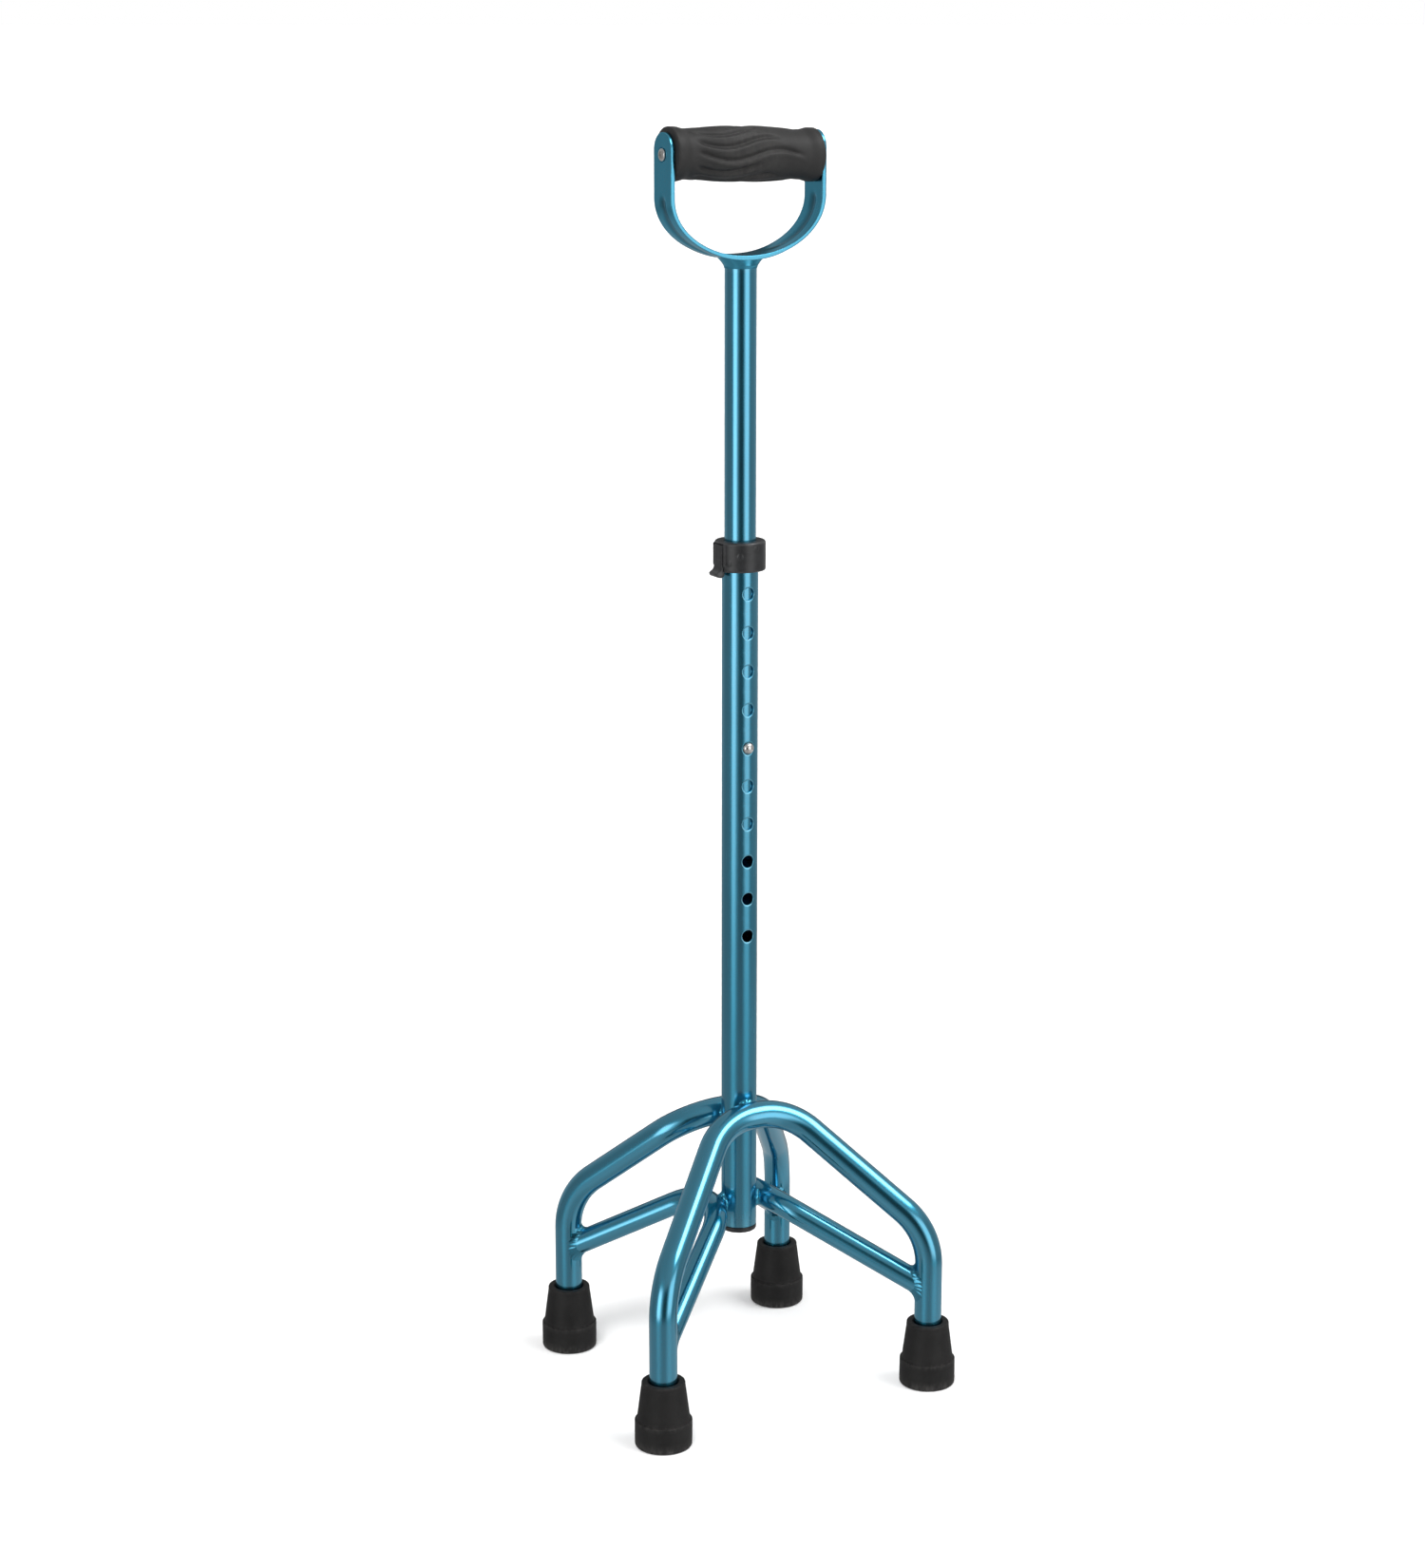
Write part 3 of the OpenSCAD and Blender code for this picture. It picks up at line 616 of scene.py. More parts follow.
def holed_wall(radius, z_rows, row_r, cells, rim, half_x):
    """One wall of a round tube, with round holes on its -Y side. Returns points, wear, faces, end rings and hole rims.

    cells holds the first row of the patch round each hole, and the hole's height. rim holds the radius of each
    ring on a hole's edge, and how far it is sunk.
    """
    half = math.asin(half_x / radius)
    rest = np.linspace(half, 2 * math.pi - half, 67)[1:-1]
    angle = np.concatenate([np.linspace(-half, half, PATCH + 1), rest]) - math.pi / 2
    cols = len(angle)
    grid, quads = skin(np.stack([row_r[:, None] * np.cos(angle), row_r[:, None] * np.sin(angle),
                                 np.repeat(z_rows[:, None], cols, 1)], -1))
    cut = {(row + i, j) for row, _ in cells for i in range(PATCH) for j in range(PATCH)}
    faces = [quad for k, quad in enumerate(quads) if divmod(k, cols) not in cut]
    verts, wear, rims, count = [grid], [np.zeros(len(grid))], [], len(grid)
    for row, hole_z in cells:
        border = [(row, j) for j in range(PATCH)] + [(row + i, PATCH) for i in range(PATCH)]
        border += [(row + PATCH, j) for j in range(PATCH, 0, -1)] + [(row + i, 0) for i in range(PATCH, 0, -1)]
        last = np.array([i * cols + j for i, j in border])
        bx, bz = grid[last, 0], grid[last, 2] - hole_z
        cos_phi, sin_phi = np.cos(np.arctan2(bz, bx)), np.sin(np.arctan2(bz, bx))
        rings = [(bx + (rim[0][0] * cos_phi - bx) * f, bz + (rim[0][0] * sin_phi - bz) * f, 0, max(0.0, (f - 0.9) * 8))
                 for f in (0.22, 0.44, 0.64, 0.80, 0.92, 1.0)]
        rings += [(r * cos_phi, r * sin_phi, sunk, 1.0 if sunk < 0.4 else 0.4) for r, sunk in rim[1:]]
        for x, z, sunk, worn in rings:
            verts.append(np.stack([x, sunk - np.sqrt(radius ** 2 - x ** 2), z + hole_z], -1))
            wear.append(np.full(len(x), worn))
            now = count + np.arange(len(x))
            faces += ring_faces(last, now)
            last, count = now, count + len(x)
        rims.append(last)
    ends = [np.arange(cols), np.arange(cols) + (len(z_rows) - 1) * cols]
    return np.vstack(verts), np.concatenate(wear), faces, ends + rims


def holed_tube(name, node, body, r_out, z0, z1, heights, hole_r, edge):
    """A tube with round holes, rounded rims, chamfered ends and a real wall."""
    low, high = min(heights) - PITCH / 2, max(heights) + PITCH / 2
    rows = [z0, z0 + edge, *np.arange(z0 + edge + 12, low - 6, 12.0)]
    cells = []
    for z in sorted(heights):
        cells.append((len(rows), z))
        rows += list(z - PITCH / 2 + np.arange(PATCH) * PITCH / PATCH)
    rows = np.array([*rows, high, *np.arange(high + 8, z1 - edge - 4, 8.0), z1 - edge, z1])
    outer_r, inner_r = np.full(len(rows), r_out), np.full(len(rows), r_out - TUBE_WALL)
    outer_r[[0, -1]] -= edge
    rim = [(hole_r + edge, 0), (hole_r + edge * 0.35, edge * 0.2), (hole_r + edge * 0.08, edge * 0.55), (hole_r, edge)]
    half_x = hole_r + 2.2
    outer, outer_wear, faces, outer_rims = holed_wall(r_out, rows, outer_r, cells, rim, half_x)
    inner, inner_wear, inner_faces, inner_rims = holed_wall(inner_r[0], rows, inner_r, cells, [(hole_r, 0)], half_x)
    base = len(outer)
    faces += [[i + base for i in face] for face in inner_faces]
    for a, b in zip(outer_rims, inner_rims):
        faces += ring_faces(a, b + base)
    verts = np.vstack([outer, inner])
    end_wear = smoothstep(2.5, 0.0, np.minimum(verts[:, 2] - z0, z1 - verts[:, 2]))
    wear = np.maximum(np.concatenate([outer_wear, inner_wear]), end_wear)
    add_piece(name, verts, faces, body, blue, [node], "blue_metal", wear=wear, sharp=40)


holed_tube("outer_tube", "outer_post", "base", POST_R, POST_Z0, post_hi[2], hole_heights, 4.0, 0.45)
holed_tube("inner_tube", "upper_tube", "upper", UPPER_R, upper_lo[2], upper_hi[2], [BUTTON_Z], 3.9, 0.25)


def plug():
    """The plug in the post's lower end: a rim as wide as the post, and a spigot inside it."""
    low, lip, high, spigot_r = POST_Z0 - 3.6, POST_Z0 - 0.06, POST_Z0 + 14, POST_IN_R - 0.05
    outline = rounded([(0.6, low), (POST_R, low), (POST_R, lip), (spigot_r, lip), (spigot_r, high), (0.6, high)],
                      [1.7, 0.25, 0, 0.4])
    verts, faces = capped(lathe(outline))
    wear = smoothstep(POST_Z0 - 1.5, low, verts[:, 2]) * 0.8
    add_piece("post_plug", verts, faces, "base", black_plastic, ["post_end_plug"], "black_plastic", wear=wear)


def button():
    """The snap button: a flange inside the tube, and a stud with a domed tip."""
    tip = -box_mm("snap_button")[0][1]
    flange_r, stud_r, back, flange_front, dome = 4.4, 3.7, 6.3, 7.4, 2.6
    profile = [(0.5, back), (flange_r, back), (flange_r, flange_front), (stud_r, flange_front)]
    profile += [(stud_r * math.cos(t), tip - dome + dome * math.sin(t)) for t in np.linspace(0, math.pi / 2 - 0.06, 14)]
    rings = lathe([(r, -y) for r, y in profile], 64)[..., [0, 2, 1]] + [0, 0, BUTTON_Z]
    add_piece("lock_button", *capped(rings), "button", plated_steel, ["snap_button"], "bright_steel", sharp=40)


plug()
button()


# ---- feet ----

foot_lo, foot_hi = box_mm("foot_front_left")
FOOT_H, FOOT_R = foot_hi[2], (foot_hi[0] - foot_lo[0]) / 2
TREAD, SOCKET_Z, STEP_Z = 1.3, 12.3, 17.8
SLEEVE_R, SOCKET_R = 14.05, ARCH_R + 0.05
foot_outline = divided(rounded([
    (0.5, SOCKET_Z), (0.5, 0.0), (6.0, 0.0), (6.4, TREAD), (8.4, TREAD), (8.8, 0.0), (11.4, 0.0), (11.8, TREAD),
    (13.8, TREAD), (14.2, 0.0), (FOOT_R, 0.0), (FOOT_R, STEP_Z), (17.05, STEP_Z), (SLEEVE_R, FOOT_H - 2.4),
    (SLEEVE_R, FOOT_H - 1.2), (13.8, FOOT_H), (ARCH_R + 1.1, FOOT_H), (SOCKET_R, FOOT_H - 2.4), (SOCKET_R, SOCKET_Z)
], [0, 0, 0.2, 0.2, 0.2, 0.2, 0.2, 0.2, 0.2, 2.2, 1.0, 0.6, 0.5, 0.4, 0.7, 0.5, 0.3, 0]), 2.2)


def foot(name, x, y):
    """A moulded foot: grooved tread, stepped base and sleeve, a mould seam, and sides that are not quite round."""
    rings = lathe(foot_outline)
    turn, z = np.arctan2(rings[..., 1], rings[..., 0]), rings[..., 2]
    wave = 0.08 * np.cos(2 * turn + x) * smoothstep(2, 12, z) * smoothstep(FOOT_H, FOOT_H - 6, z)
    seam = 0.16 * np.exp(-((np.abs(turn) - math.pi / 2) * 15 / 0.35) ** 2) * smoothstep(3, 5, z)
    outside = np.hypot(rings[..., 0], rings[..., 1]) > ARCH_R + 2
    swell = (wave + seam - 0.24 * (z < STEP_Z + 0.1)) * outside
    rings[..., :2] += unit(rings[..., :2]) * swell[..., None]
    verts, faces = capped(rings + [x, y, 0])
    z = verts[:, 2]
    wear = 0.9 * smoothstep(7, 0, z) + 0.35 * np.exp(-((z - 17.5) / 0.9) ** 2) + 0.2 * smoothstep(FOOT_H - 2, FOOT_H, z)
    add_piece("tip_" + name, verts, faces, "base", foot_rubber, ["foot_" + name], "foot_rubber",
              wear=np.clip(wear, 0, 1), sharp=60)


for name, x, y in (("front_left", -FRONT_X, FRONT_Y), ("front_right", FRONT_X, FRONT_Y),
                   ("rear_left", -REAR_X, REAR_Y), ("rear_right", REAR_X, REAR_Y)):
    foot(name, x, y)


# ---- yoke ----

yoke_lo, yoke_hi = box_mm("yoke")
grip_lo, grip_hi = box_mm("grip_sleeve")
OUT_X, IN_X = yoke_hi[0], 52.0
YOKE_W = (yoke_hi[1] - yoke_lo[1]) / 2
GRIP_Z = (grip_lo[2] + grip_hi[2]) / 2
ARM_Z = yoke_hi[2] - YOKE_W
CAP_Z = GRIP_Z - YOKE_W
SPRING_Z, BOTTOM_OUT, BOTTOM_IN = 778.0, 740.0, 742.8
EDGE = 0.5
edge_steps = np.array([0, 0.015, 0.05, 0.12, 0.22, 0.35, 0.5, 0.8])
columns = np.concatenate([edge_steps - YOKE_W, np.linspace(1.6 - YOKE_W, YOKE_W - 1.6, 33), YOKE_W - edge_steps[::-1]])


def flute(y, z, along):
    """Depth of the shallow flute in both faces of the strap. along is 1 on the arms and falls to 0 under the neck."""
    start = 775.5
    away = np.where(z > start, np.hypot(y, z - start), np.abs(y))
    return 0.95 * np.cos(np.clip(away / 4.6, 0, 1) * math.pi / 2) ** 1.4 * along


def from_edge(y, z):
    """How far in from the strap's outline a point lies: straight sides, and round ends of the arms."""
    return YOKE_W - np.where(z > ARM_Z, np.hypot(y, z - ARM_Z), np.abs(y))


def half_thick(y, z, half):
    """Half thickness of the strap near its outline, with rounded edges."""
    short = np.clip(EDGE - from_edge(y, z), 0, EDGE)
    return half - EDGE + np.sqrt(EDGE ** 2 - short ** 2)


def superellipse(a, b, n, t):
    """A point of a superellipse about the middle of the strap's curve, in x and z."""
    x, z = (r * math.copysign(abs(k) ** (2 / n), k) for r, k in ((a, math.cos(t)), (b, math.sin(t))))
    return np.array([x, z + SPRING_Z])


def strap_stations():
    """Inside and outside points of the strap, from the left arm's cap round to the right arm's."""
    heights = np.linspace(CAP_Z, SPRING_Z, 9)[:-1]
    left = [(np.array([-IN_X, z]), np.array([-OUT_X, z])) for z in heights]
    curve = [(superellipse(IN_X, SPRING_Z - BOTTOM_IN, 2.05, t), superellipse(OUT_X, SPRING_Z - BOTTOM_OUT, 2.0, t))
             for t in np.radians(np.linspace(180, 360, 121))]
    right = [(np.array([IN_X, z]), np.array([OUT_X, z])) for z in heights[::-1]]
    return left + curve + right


def strap():
    """The bent strap between the two arm caps."""
    rings = []
    for inner, outer in strap_stations():
        mid, half = (inner + outer) / 2, np.linalg.norm(outer - inner) / 2
        normal = (outer - inner) / (2 * half)
        x, z = abs(mid[0]), np.full(len(columns), mid[1])
        thick = half_thick(columns, z, half)
        out = thick - flute(columns, z, smoothstep(13, 24, x)) + 0.5 * (1 - smoothstep(12, 32, x))
        crown = 0.35 * (1 - smoothstep(14, 40, x)) * (columns / YOKE_W) ** 2
        into = crown + flute(columns, z, smoothstep(16, 40, x)) - thick
        faces = [np.stack([mid[0] + normal[0] * h, columns, mid[1] + normal[1] * h], -1) for h in (out, into)]
        rings.append(np.concatenate([faces[0], faces[1][::-1]]))
    return skin(rings)


def about_grip(x, r, a):
    """A ring of points at one x, round the grip's axis."""
    return np.stack([np.full(len(a), x), r * np.cos(a), GRIP_Z + r * np.sin(a)], -1)


def arm_cap(side):
    """The rounded top of an arm, with the counterbored hole for the screw."""
    n_side, hole_r, bore_r, deep = 14, 4.75, 3.2, 0.62
    rise = (ARM_Z - CAP_Z) / n_side
    loop = [(y, CAP_Z) for y in columns] + [(YOKE_W, CAP_Z + rise * i) for i in range(1, n_side)]
    loop += [(YOKE_W * math.cos(t), ARM_Z + YOKE_W * math.sin(t)) for t in np.linspace(0, math.pi, 41)]
    loop += [(-YOKE_W, ARM_Z - rise * i) for i in range(1, n_side)]
    edge_y, edge_z = np.array(loop).T
    phi = np.arctan2(edge_z - GRIP_Z, edge_y)
    mid, half = (IN_X + OUT_X) / 2, (OUT_X - IN_X) / 2
    outside, inside = [], []
    for face, r, layers in ((1, hole_r, outside), (-1, bore_r, inside)):
        for f in (1, 0.99, 0.975, 0.95, 0.92, 0.88, 0.84, 0.78, 0.62, 0.46, 0.3, 0.14, 0):
            y = edge_y * f + r * np.cos(phi) * (1 - f)
            z = edge_z * f + (GRIP_Z + r * np.sin(phi)) * (1 - f)
            h = half_thick(y, z, half) - flute(y, z, 1.0)
            layers.append(np.stack([side * (mid + face * h), y, z], -1))
    for r, sunk in ((4.60, 0.06), (4.55, 0.20), (4.55, deep), (bore_r, deep)):
        outside.append(about_grip(side * (OUT_X - sunk), r, phi))
    verts, faces = skin(outside + inside[::-1])
    m, last = len(loop), len(verts) - len(loop)
    faces += [[last + j, last + (j + 1) % m, (j + 1) % m, j] for j in range(len(columns) - 1, m)]
    return verts, faces


def welded(*parts):
    """Joins meshes whose borders coincide into one closed mesh."""
    verts, faces = join(*parts)
    mesh = bpy.data.meshes.new("join")
    mesh.from_pydata(verts.tolist(), [], faces)
    bm = bmesh.new()
    bm.from_mesh(mesh)
    bmesh.ops.remove_doubles(bm, verts=bm.verts, dist=0.004)
    out_v = np.array([v.co[:] for v in bm.verts])
    out_f = [[v.index for v in f.verts] for f in bm.faces]
    bm.free()
    bpy.data.meshes.remove(mesh)
    return out_v, out_f


def yoke_strap():
    """The strap and both arm caps, a little paler along their edges, with painted shade darkening the flute."""
    verts, faces = welded(strap(), arm_cap(-1), arm_cap(1))
    x, y, z = verts.T
    rubbed = 0.35 * smoothstep(1.2, 0.2, from_edge(y, z))
    # Painted shade: the flute's tint is darkened, through wear below 0.
    painted_flute_shade = flute(y, z, 1.0) * smoothstep(6, 26, np.abs(x))
    add_piece("yoke_strap", verts, faces, "upper", blue_plain, ["yoke"], "blue_metal", wear=rubbed - painted_flute_shade, sharp=38)


def yoke_neck():
    """The flared neck: no wider than the strap from front to back, and lifted to follow the strap's curve."""
    bore_r, flare_r, low, high, width = UPPER_R + 0.04, 16.6, 734.2, 741.3, 10.9
    outline = rounded([(bore_r, low), (UPPER_R + 0.3, low), (UPPER_R + 0.7, 736.4), (flare_r, 740.4), (flare_r, high),
                       (bore_r, high)], [0.2, 3.6, 0.3, 0], 8)
    rings = lathe(outline)
    spread = np.hypot(rings[..., 0], rings[..., 1])
    lift = (SPRING_Z - BOTTOM_OUT) * (1 - np.sqrt(1 - (rings[..., 0] / OUT_X) ** 2))
    rings[..., 2] += lift * smoothstep(735, 740.4, rings[..., 2])
    rings[..., 1] *= np.where(spread > width, (width + 0.06 * (spread - width)) / spread, 1.0)
    add_piece("yoke_neck", *skin(rings, loop=True), "upper", blue_plain, ["yoke"], "blue_metal", sharp=50)


yoke_strap()
yoke_neck()


# ---- grip ----

GRIP_HALF = IN_X - 0.4
END_ROUND = 1.0
GRIP_BORE = 8.15


def grip_radius(x):
    """The moulding's plain radius: fuller in the middle, and flared at both ends."""
    a = np.abs(x)
    bulge = 15.4 + 1.9 * np.cos(np.clip(a, 0, 40) * math.pi / 80) ** 1.2
    flange = 15.4 + 1.2 * smoothstep(41.0, 47.5, a)
    return np.where(a < 40, bulge, flange)


def grip_sag(x):
    """How far the moulding's middle line hangs below the core: a little, and most at its right end."""
    return 0.5 + np.where(x > 0, 1.4, 0.8) * x / 47


def wave_height(x, turn):
    """Moulded flow lines: a groove with a soft ridge below it. turn is the angle round the grip, in degrees."""
    total = np.zeros_like(x)
    for k in range(12):
        lag, stop = ((0.0, 38.0), (4.0, 21.0), (5.5, 8.0))[k % 3]
        line = -15.0 + 30.0 * k + 12.4 * np.cos(2 * math.pi * (x + lag - 19.5) / 68)
        off = np.radians((turn - line + 180.0) % 360.0 - 180.0) * 16.5
        fade = smoothstep(-39.5, -32, x) * smoothstep(stop + 2, stop - 9, x)
        total += fade * (0.5 * np.exp(-((off + 3.2) / 1.7) ** 2) - 1.55 * np.exp(-(off / 1.6) ** 2))
    return total


def grip():
    """The moulded sleeve, with rounded ends and a straight bore."""
    ends = np.array([0.0, 0.15, 0.45, 0.9])
    xs = np.concatenate([ends - GRIP_HALF, np.linspace(1.5 - GRIP_HALF, GRIP_HALF - 1.5, 220), GRIP_HALF - ends[::-1]])
    x, a = np.meshgrid(xs, around(240), indexing="ij")
    short = np.clip(END_ROUND - (GRIP_HALF - np.abs(x)), 0, END_ROUND)
    inset = 0.45 * smoothstep(-38, -28, x) * smoothstep(42, 32, x)
    r = grip_radius(x) - END_ROUND + np.sqrt(END_ROUND ** 2 - short ** 2) - inset
    r += wave_height(x, 164.6 - np.degrees(a))
    outer = np.stack([x, r * np.cos(a), r * np.sin(a) - grip_sag(x)], -1)
    bore = np.stack([x, GRIP_BORE * np.cos(a), GRIP_BORE * np.sin(a)], -1)[[-1, 0]]
    verts, faces = skin(np.concatenate([outer, bore]) + [0, 0, GRIP_Z], loop=True)
    handled = 0.25 * smoothstep(30, 10, np.abs(verts[:, 0]))
    add_piece("grip", verts, faces, "upper", grip_rubber, ["grip_sleeve"], "grip_rubber", wear=handled, sharp=60)


def screw(name, node, side, tip, shank):
    """A low socket head with a rounded rim and a hexagonal recess, and the shank behind it."""
    a = around(72)
    hexagon = 2.3 / np.cos(np.radians(np.degrees(a) % 60 - 30))
    seat = OUT_X - 0.6
    stem = [(tip, 0.5), (tip, shank - 0.3), (tip + 0.3, shank), (seat - 0.5, shank), (seat, 3.6)]
    head = [(0.02, 3.9), (0.9, 3.9), (1.2, 3.82), (1.45, 3.62), (1.6, 3.3), (1.66, 2.95)]
    recess = [(1.66, 1.06), (1.58, 1.0), (0.7, 0.98), (0.62, 0.55)]
    rings = [about_grip(side * x, r, a) for x, r in stem]
    rings += [about_grip(side * (seat + h), r, a) for h, r in head]
    rings += [about_grip(side * (seat + h), hexagon * k, a) for h, k in recess]
    add_piece(name, *capped(rings), "upper", plated_steel, [node], "bright_steel", sharp=30)


grip()
screw("screw_left", "grip_bolt", -1, -29.9, 2.2)
screw("screw_right", "grip_nut", 1, 27.0, 3.0)


# ---- collar and lever ----

COLLAR_Z0, COLLAR_Z1, COLLAR_R = 545.0, 564.1, 16.3
LEVER_X, LEVER_Z, LEVER_W = -14.2, 560.6, 10.6


def collar_outline():
    """The collar's section as (radius, height): its outside from below, then its bore."""
    foot, shoulder, bush_r, lip_r, bush_top, bush_low = 1.1, 1.7, 12.1, 10.27, 563.68, 558.1
    quarter = math.pi / 2
    rows = [(11.72, COLLAR_Z0 + 0.3), (12.2, COLLAR_Z0), (14.0, COLLAR_Z0)]
    rows += [(COLLAR_R - foot + foot * math.sin(t), COLLAR_Z0 + foot - foot * math.cos(t))
             for t in np.linspace(0, quarter, 6)]
    rows += [(COLLAR_R, z) for z in [*np.linspace(COLLAR_Z0 + 1.7, 561.8, 30), *np.linspace(562.0, 562.3, 4)]]
    rows += [(COLLAR_R - shoulder + shoulder * math.cos(t), COLLAR_Z1 - shoulder + shoulder * math.sin(t))
             for t in np.linspace(0.15, quarter, 9)]
    rows += [(13.2, COLLAR_Z1), (11.0, COLLAR_Z1), (10.4, COLLAR_Z1 - 0.08), (lip_r, COLLAR_Z1 - 0.2)]
    return rows + [(lip_r, bush_top), (bush_r, bush_top), (bush_r, bush_low), (11.72, bush_low)]


def collar():
    """The collar, with two cheeks and a slot for the lever, and three small moulded dots."""
    cheek_x, slot_r = 15.8, 12.55
    dots = ((241, 555.6, 0.26), (281, 560.2, 0.22), (215, 551.0, 0.16))
    a = around(288)
    cos_a, sin_a = np.cos(a), np.sin(a)
    rings = []
    for row_r, z in collar_outline():
        r = np.full(len(a), row_r)
        if row_r > slot_r:
            cheek = smoothstep(7.2, 6.5, np.abs(row_r * sin_a)) * (cos_a < 0) * (row_r > 15.2)
            cheek *= smoothstep(COLLAR_Z0 + 2.6, COLLAR_Z0 + 3.8, z) * smoothstep(COLLAR_Z1 - 0.7, COLLAR_Z1 - 1.9, z)
            r = r + cheek * np.clip(cheek_x / np.maximum(np.abs(cos_a), 0.4) - r, 0, 1.4)
            slot = smoothstep(6.0, 5.6, np.abs(r * sin_a)) * (cos_a < 0) * smoothstep(562.95, 562.6, z)
            r = r - slot * np.maximum(r - slot_r, 0)
        if row_r > 16:
            for azimuth, height, size in dots:
                turn = np.radians((np.degrees(a) - azimuth + 180) % 360 - 180)
                r = r + size * smoothstep(2.1, 1.3, np.hypot(turn * COLLAR_R, z - height))
        rings.append(np.stack([r * cos_a, r * sin_a, np.full(len(a), z)], -1))
    verts, faces = skin(rings, loop=True)
    rims = (np.exp(-((verts[:, 2] - COLLAR_Z1 + 0.7) / 0.8) ** 2)
            + 0.6 * np.exp(-((verts[:, 2] - COLLAR_Z0 - 0.5) / 0.7) ** 2))
    wear = np.clip(smoothstep(15.2, 16.2, np.hypot(verts[:, 0], verts[:, 1])) * rims, 0, 1)
    add_piece("collar", verts, faces, "base", black_plastic, ["collar_body"], "black_plastic", wear=wear, sharp=48)


def lever():
    """The lock lever: a hub round its pin, a flat blade, and a ribbed finger tab that turns out below the collar."""
    tab, hub_r = COLLAR_Z0 - LEVER_Z, 2.0
    blade = [
        (-2.0, 0.0), (-2.05, tab + 8), (-2.1, tab + 2.6), (-3.3, tab + 0.6), (-4.9, tab - 0.2), (-5.8, tab - 1.2),
        (-5.1, tab - 3.0), (-2.6, tab - 3.7), (-0.7, tab - 3.4), (0.4, tab - 1.4), (0.4, tab + 8), (0.4, -1.2)
    ]
    hub = [(hub_r * math.cos(t), hub_r * math.sin(t)) for t in np.radians(np.arange(-35, 169, 12))]
    line = rounded([*blade, hub[0]], [0.5, 1.0, 0.9, 0.8, 0.7, 0.9, 0.9, 0.9, 0.9, 1.0, 0.8], 5)
    line = divided(np.vstack([line, hub[1:], line[:1]]), 0.6)[:-1]
    tangent = unit(np.roll(line, -1, 0) - np.roll(line, 1, 0))
    normal = np.stack([tangent[:, 1], -tangent[:, 0]], -1)
    x, z = line.T
    ribbed = smoothstep(tab + 8.5, tab + 7.5, z) * smoothstep(tab + 2.6, tab + 3.6, z) * (x < -1.5)
    line = line + normal * (0.14 * np.cos(z * 2 * math.pi / 1.5) * ribbed)[:, None]
    half = LEVER_W / 2
    edge = [(0, 0.55), (0.08, 0.3), (0.25, 0.1), (0.55, 0.0)]
    sections = [(d - half, cut) for d, cut in edge] + [(-half / 2, 0), (0, 0), (half / 2, 0)]
    sections += [(half - d, cut) for d, cut in reversed(edge)]
    rings = []
    for y, cut in sections:
        x, z = (line - normal * cut).T
        rings.append(np.stack([x + LEVER_X, np.full(len(x), y), z + LEVER_Z], -1))
    verts, faces = skin(rings)
    faces += [list(range(len(line)))[::-1], list(range(len(verts) - len(line), len(verts)))]
    wear = smoothstep(COLLAR_Z0 + 2, COLLAR_Z0 - 1, verts[:, 2]) * 0.9
    add_piece("lever", verts, faces, "lever", black_plastic, ["lock_lever"], "black_plastic", wear=wear, sharp=42)


collar()
lever()


# ---- CAD nodes that stay: hidden or small parts, given their own finish ----

finishes = {
    "foot_washers": plated_steel, "collar_bush": bush_plastic, "lever_pin": brushed_steel, "tube_glide": black_plastic,
    "snap_spring": brushed_steel, "grip_core": black_plastic
}
for node, material in finishes.items():
    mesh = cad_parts[node].data
    mesh.materials.clear()
    mesh.materials.append(material)


# ---- floor, light and surroundings ----

def floor():
    """A wide, pale, matt floor in metres, just under the feet, that leaves no reflection on the metal."""
    side, n = 400.0, 4
    grid = np.linspace(-side, side, n + 1)
    verts = [(x, y, -0.0001) for y in grid for x in grid]
    faces = [[j * (n + 1) + i, j * (n + 1) + i + 1, (j + 1) * (n + 1) + i + 1, (j + 1) * (n + 1) + i]
             for j in range(n) for i in range(n)]
    mesh = bpy.data.meshes.new("floor")
    mesh.from_pydata(verts, [], faces)
    obj = bpy.data.objects.new("floor", mesh)
    scene.collection.objects.link(obj)
    material, g, shader = new_material("pale_floor")
    cloud = g.noise(g.place(), 1.3, 3)
    tint = g.mix(g.ranged(cloud, 0.3, 0.7), (0.90, 0.90, 0.90, 1), (0.92, 0.92, 0.92, 1))
    g.set(shader, {"Base Color": tint, "Roughness": g.ranged(cloud, 0.3, 0.7, 0.75, 0.85),
                   "Emission Color": (1, 1, 1, 1), "Emission Strength": 0.12})
    mesh.materials.append(material)
    obj.visible_glossy = False


def tall_panels(g, angle):
    """Brightness round the horizon, as (degrees, value) stops: 0 is the camera's side, plus is to its right."""
    stops = [
        (-180, 0.50), (-150, 0.50), (-128, 0.40), (-100, 0.29), (-58, 0.32), (-46, 2.7), (-30, 2.7), (-22, 1.0),
        (-14, 0.45), (-5, 0.10), (1, 0.06), (19, 0.06), (28, 0.7), (38, 2.0), (60, 2.0), (69, 0.45), (80, 0.37),
        (120, 0.42), (145, 0.50), (180, 0.50)
    ]
    brightest = 3
    ramp = g.add("ShaderNodeValToRGB", {0: g.plus(g.math("DIVIDE", angle, 2 * math.pi), 0.5)})
    ramp.color_ramp.interpolation = "EASE"
    elements = ramp.color_ramp.elements
    while len(elements) > 1:
        elements.remove(elements[-1])
    elements[0].position = 0.0
    for i, (degrees, value) in enumerate(stops):
        element = elements[0] if i == 0 else elements.new((degrees + 180) / 360)
        element.color = (value / brightest, value / brightest, value / brightest, 1)
    return g.times(ramp.outputs["Color"], brightest)


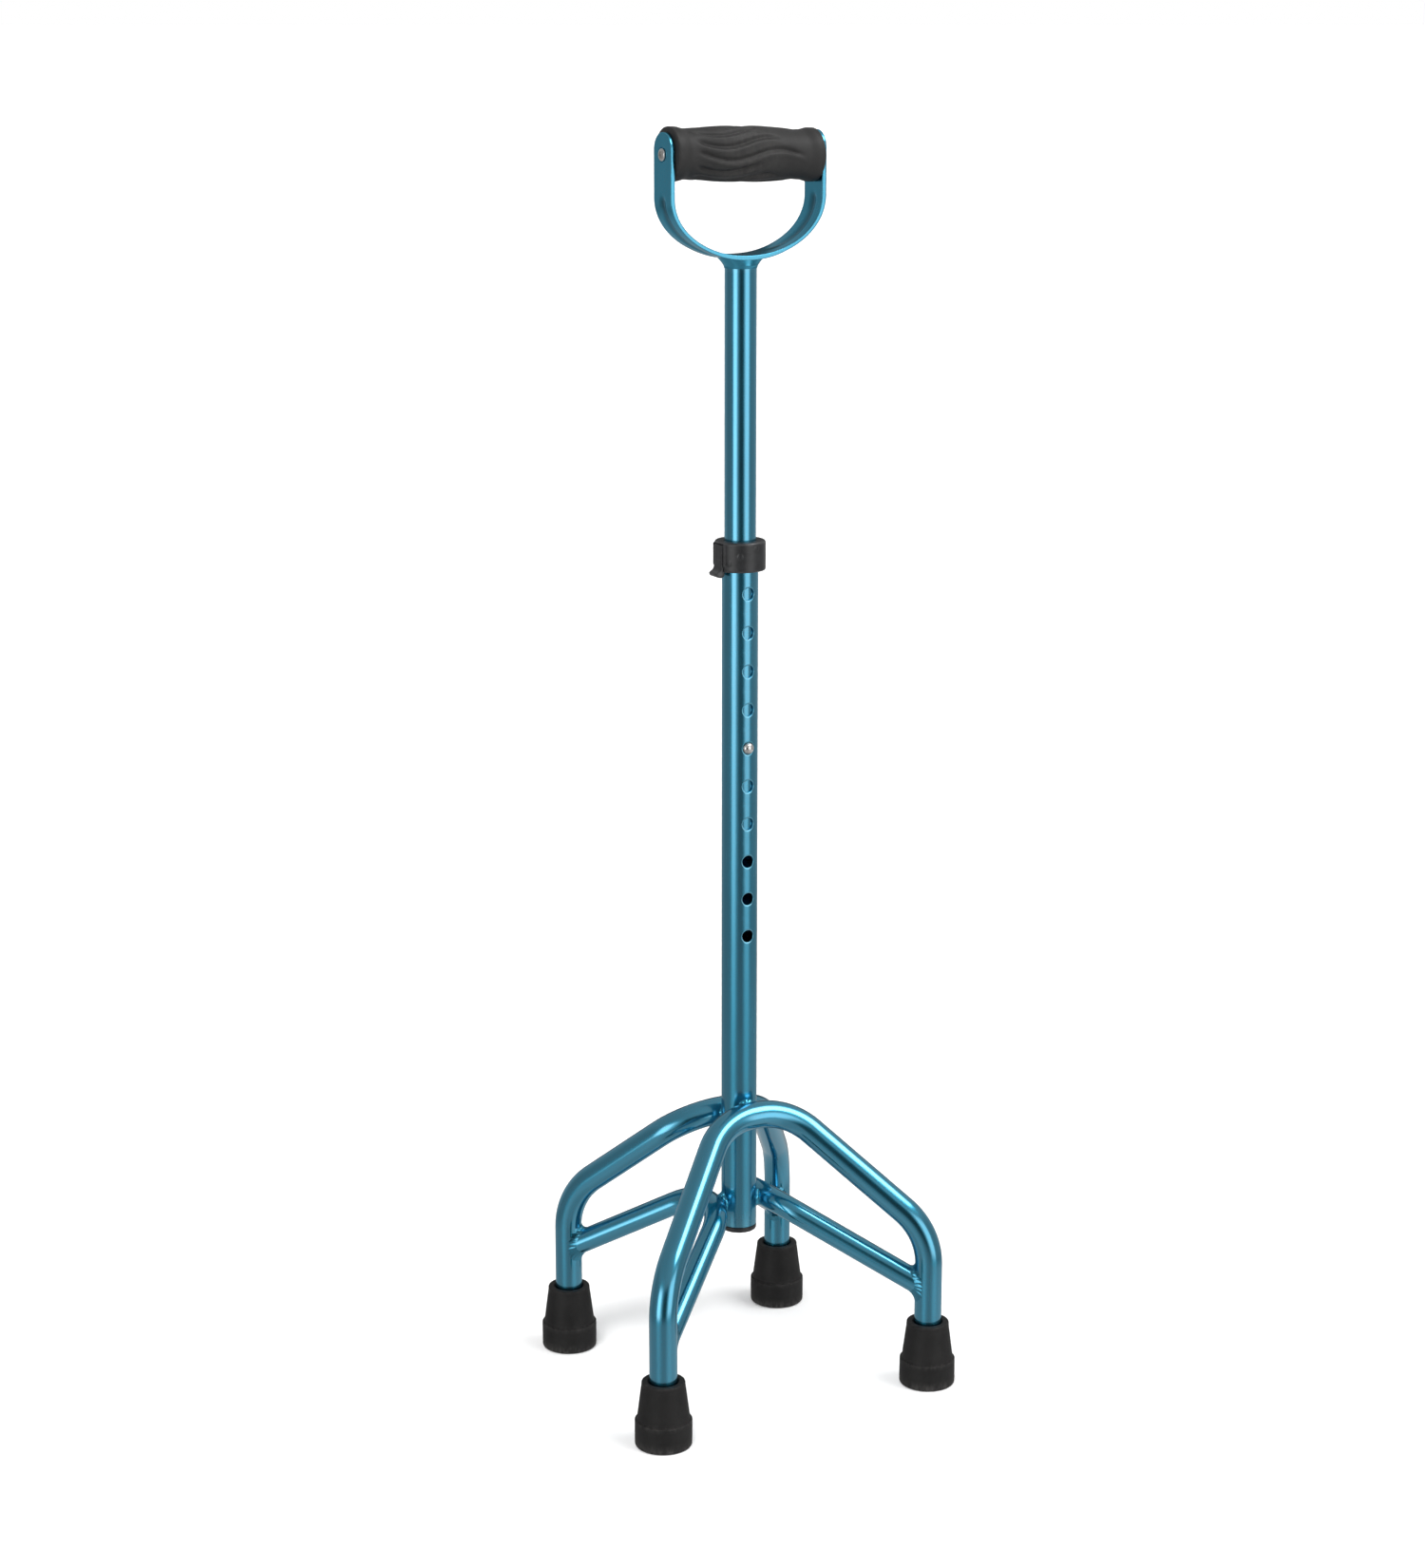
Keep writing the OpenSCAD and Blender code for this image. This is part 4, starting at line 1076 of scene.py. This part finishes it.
def surroundings():
    """A dim, even studio: tall panels, a darker place behind, and a bright box high on the right."""
    world = bpy.data.worlds.new("studio")
    scene.world = world
    world.use_nodes = True
    g = Graph(world.node_tree)
    ray = g.add("ShaderNodeTexCoord").outputs["Generated"]

    def along(direction):
        node = g.add("ShaderNodeVectorMath", {0: ray, 1: tuple(direction)}, operation="DOT_PRODUCT")
        return node.outputs["Value"]

    toward = unit([-VIEW.x, -VIEW.y, 0])
    front, side = along(toward), along([-toward[1], toward[0], 0])
    up = g.add("ShaderNodeSeparateXYZ", {0: ray}).outputs["Z"]
    angle = g.math("ARCTAN2", side, front)
    bands = tall_panels(g, angle)
    box_high = g.times(g.soft(up, 0.59, 0.67), g.soft(up, 0.86, 0.91, 1.0, 0.0))
    box_wide = g.times(g.soft(angle, math.radians(40), math.radians(50)),
                       g.soft(angle, math.radians(92), math.radians(118), 1.0, 0.0))
    above = g.plus(g.soft(side, -0.6, 0.3, 0.40, 0.52), g.times(g.times(box_high, box_wide), 5.6))
    glow = g.times(g.ranged(side, 0.3, 0.8, 0.19, 0.42), g.ranged(up, -0.42, -0.28, 1.0, 0.0))
    below = g.plus(0.25, g.plus(glow, g.times(bands, 0.05)))
    open_air = g.blend(g.ranged(up, -0.05, 0.05), below, above)
    dusk = g.times(g.ranged(front, -0.82, -0.96, 0.0, 0.85), g.ranged(up, -0.09, -0.02))
    level = g.times(g.soft(up, -0.33, -0.16), g.soft(up, 0.28, 0.48, 1.0, 0.0))
    light = g.blend(level, open_air, g.times(bands, g.less(dusk)))
    lit = g.add("ShaderNodeBackground", {"Color": light})
    plain = g.add("ShaderNodeBackground", {"Color": (1, 1, 1, 1)})
    camera_ray = g.add("ShaderNodeLightPath").outputs["Is Camera Ray"]
    g.add("ShaderNodeOutputWorld", {0: g.add("ShaderNodeMixShader", {0: camera_ray, 1: lit, 2: plain})})


def sun(name, toward, strength, spread):
    """A wide, soft light that leaves no highlight of its own on the metal."""
    data = bpy.data.lights.new(name, "SUN")
    data.energy = strength
    data.angle = math.radians(spread)
    obj = bpy.data.objects.new(name, data)
    obj.rotation_mode = "QUATERNION"
    obj.rotation_quaternion = Vector(toward).to_track_quat("Z", "Y")
    obj.visible_glossy = False
    scene.collection.objects.link(obj)


floor()
surroundings()
sun("key", (-0.55, -0.50, 1.0), 2.0, 26)
sun("fill", (0.9, -0.7, 0.7), 0.55, 60)

bpy.context.view_layer.update()
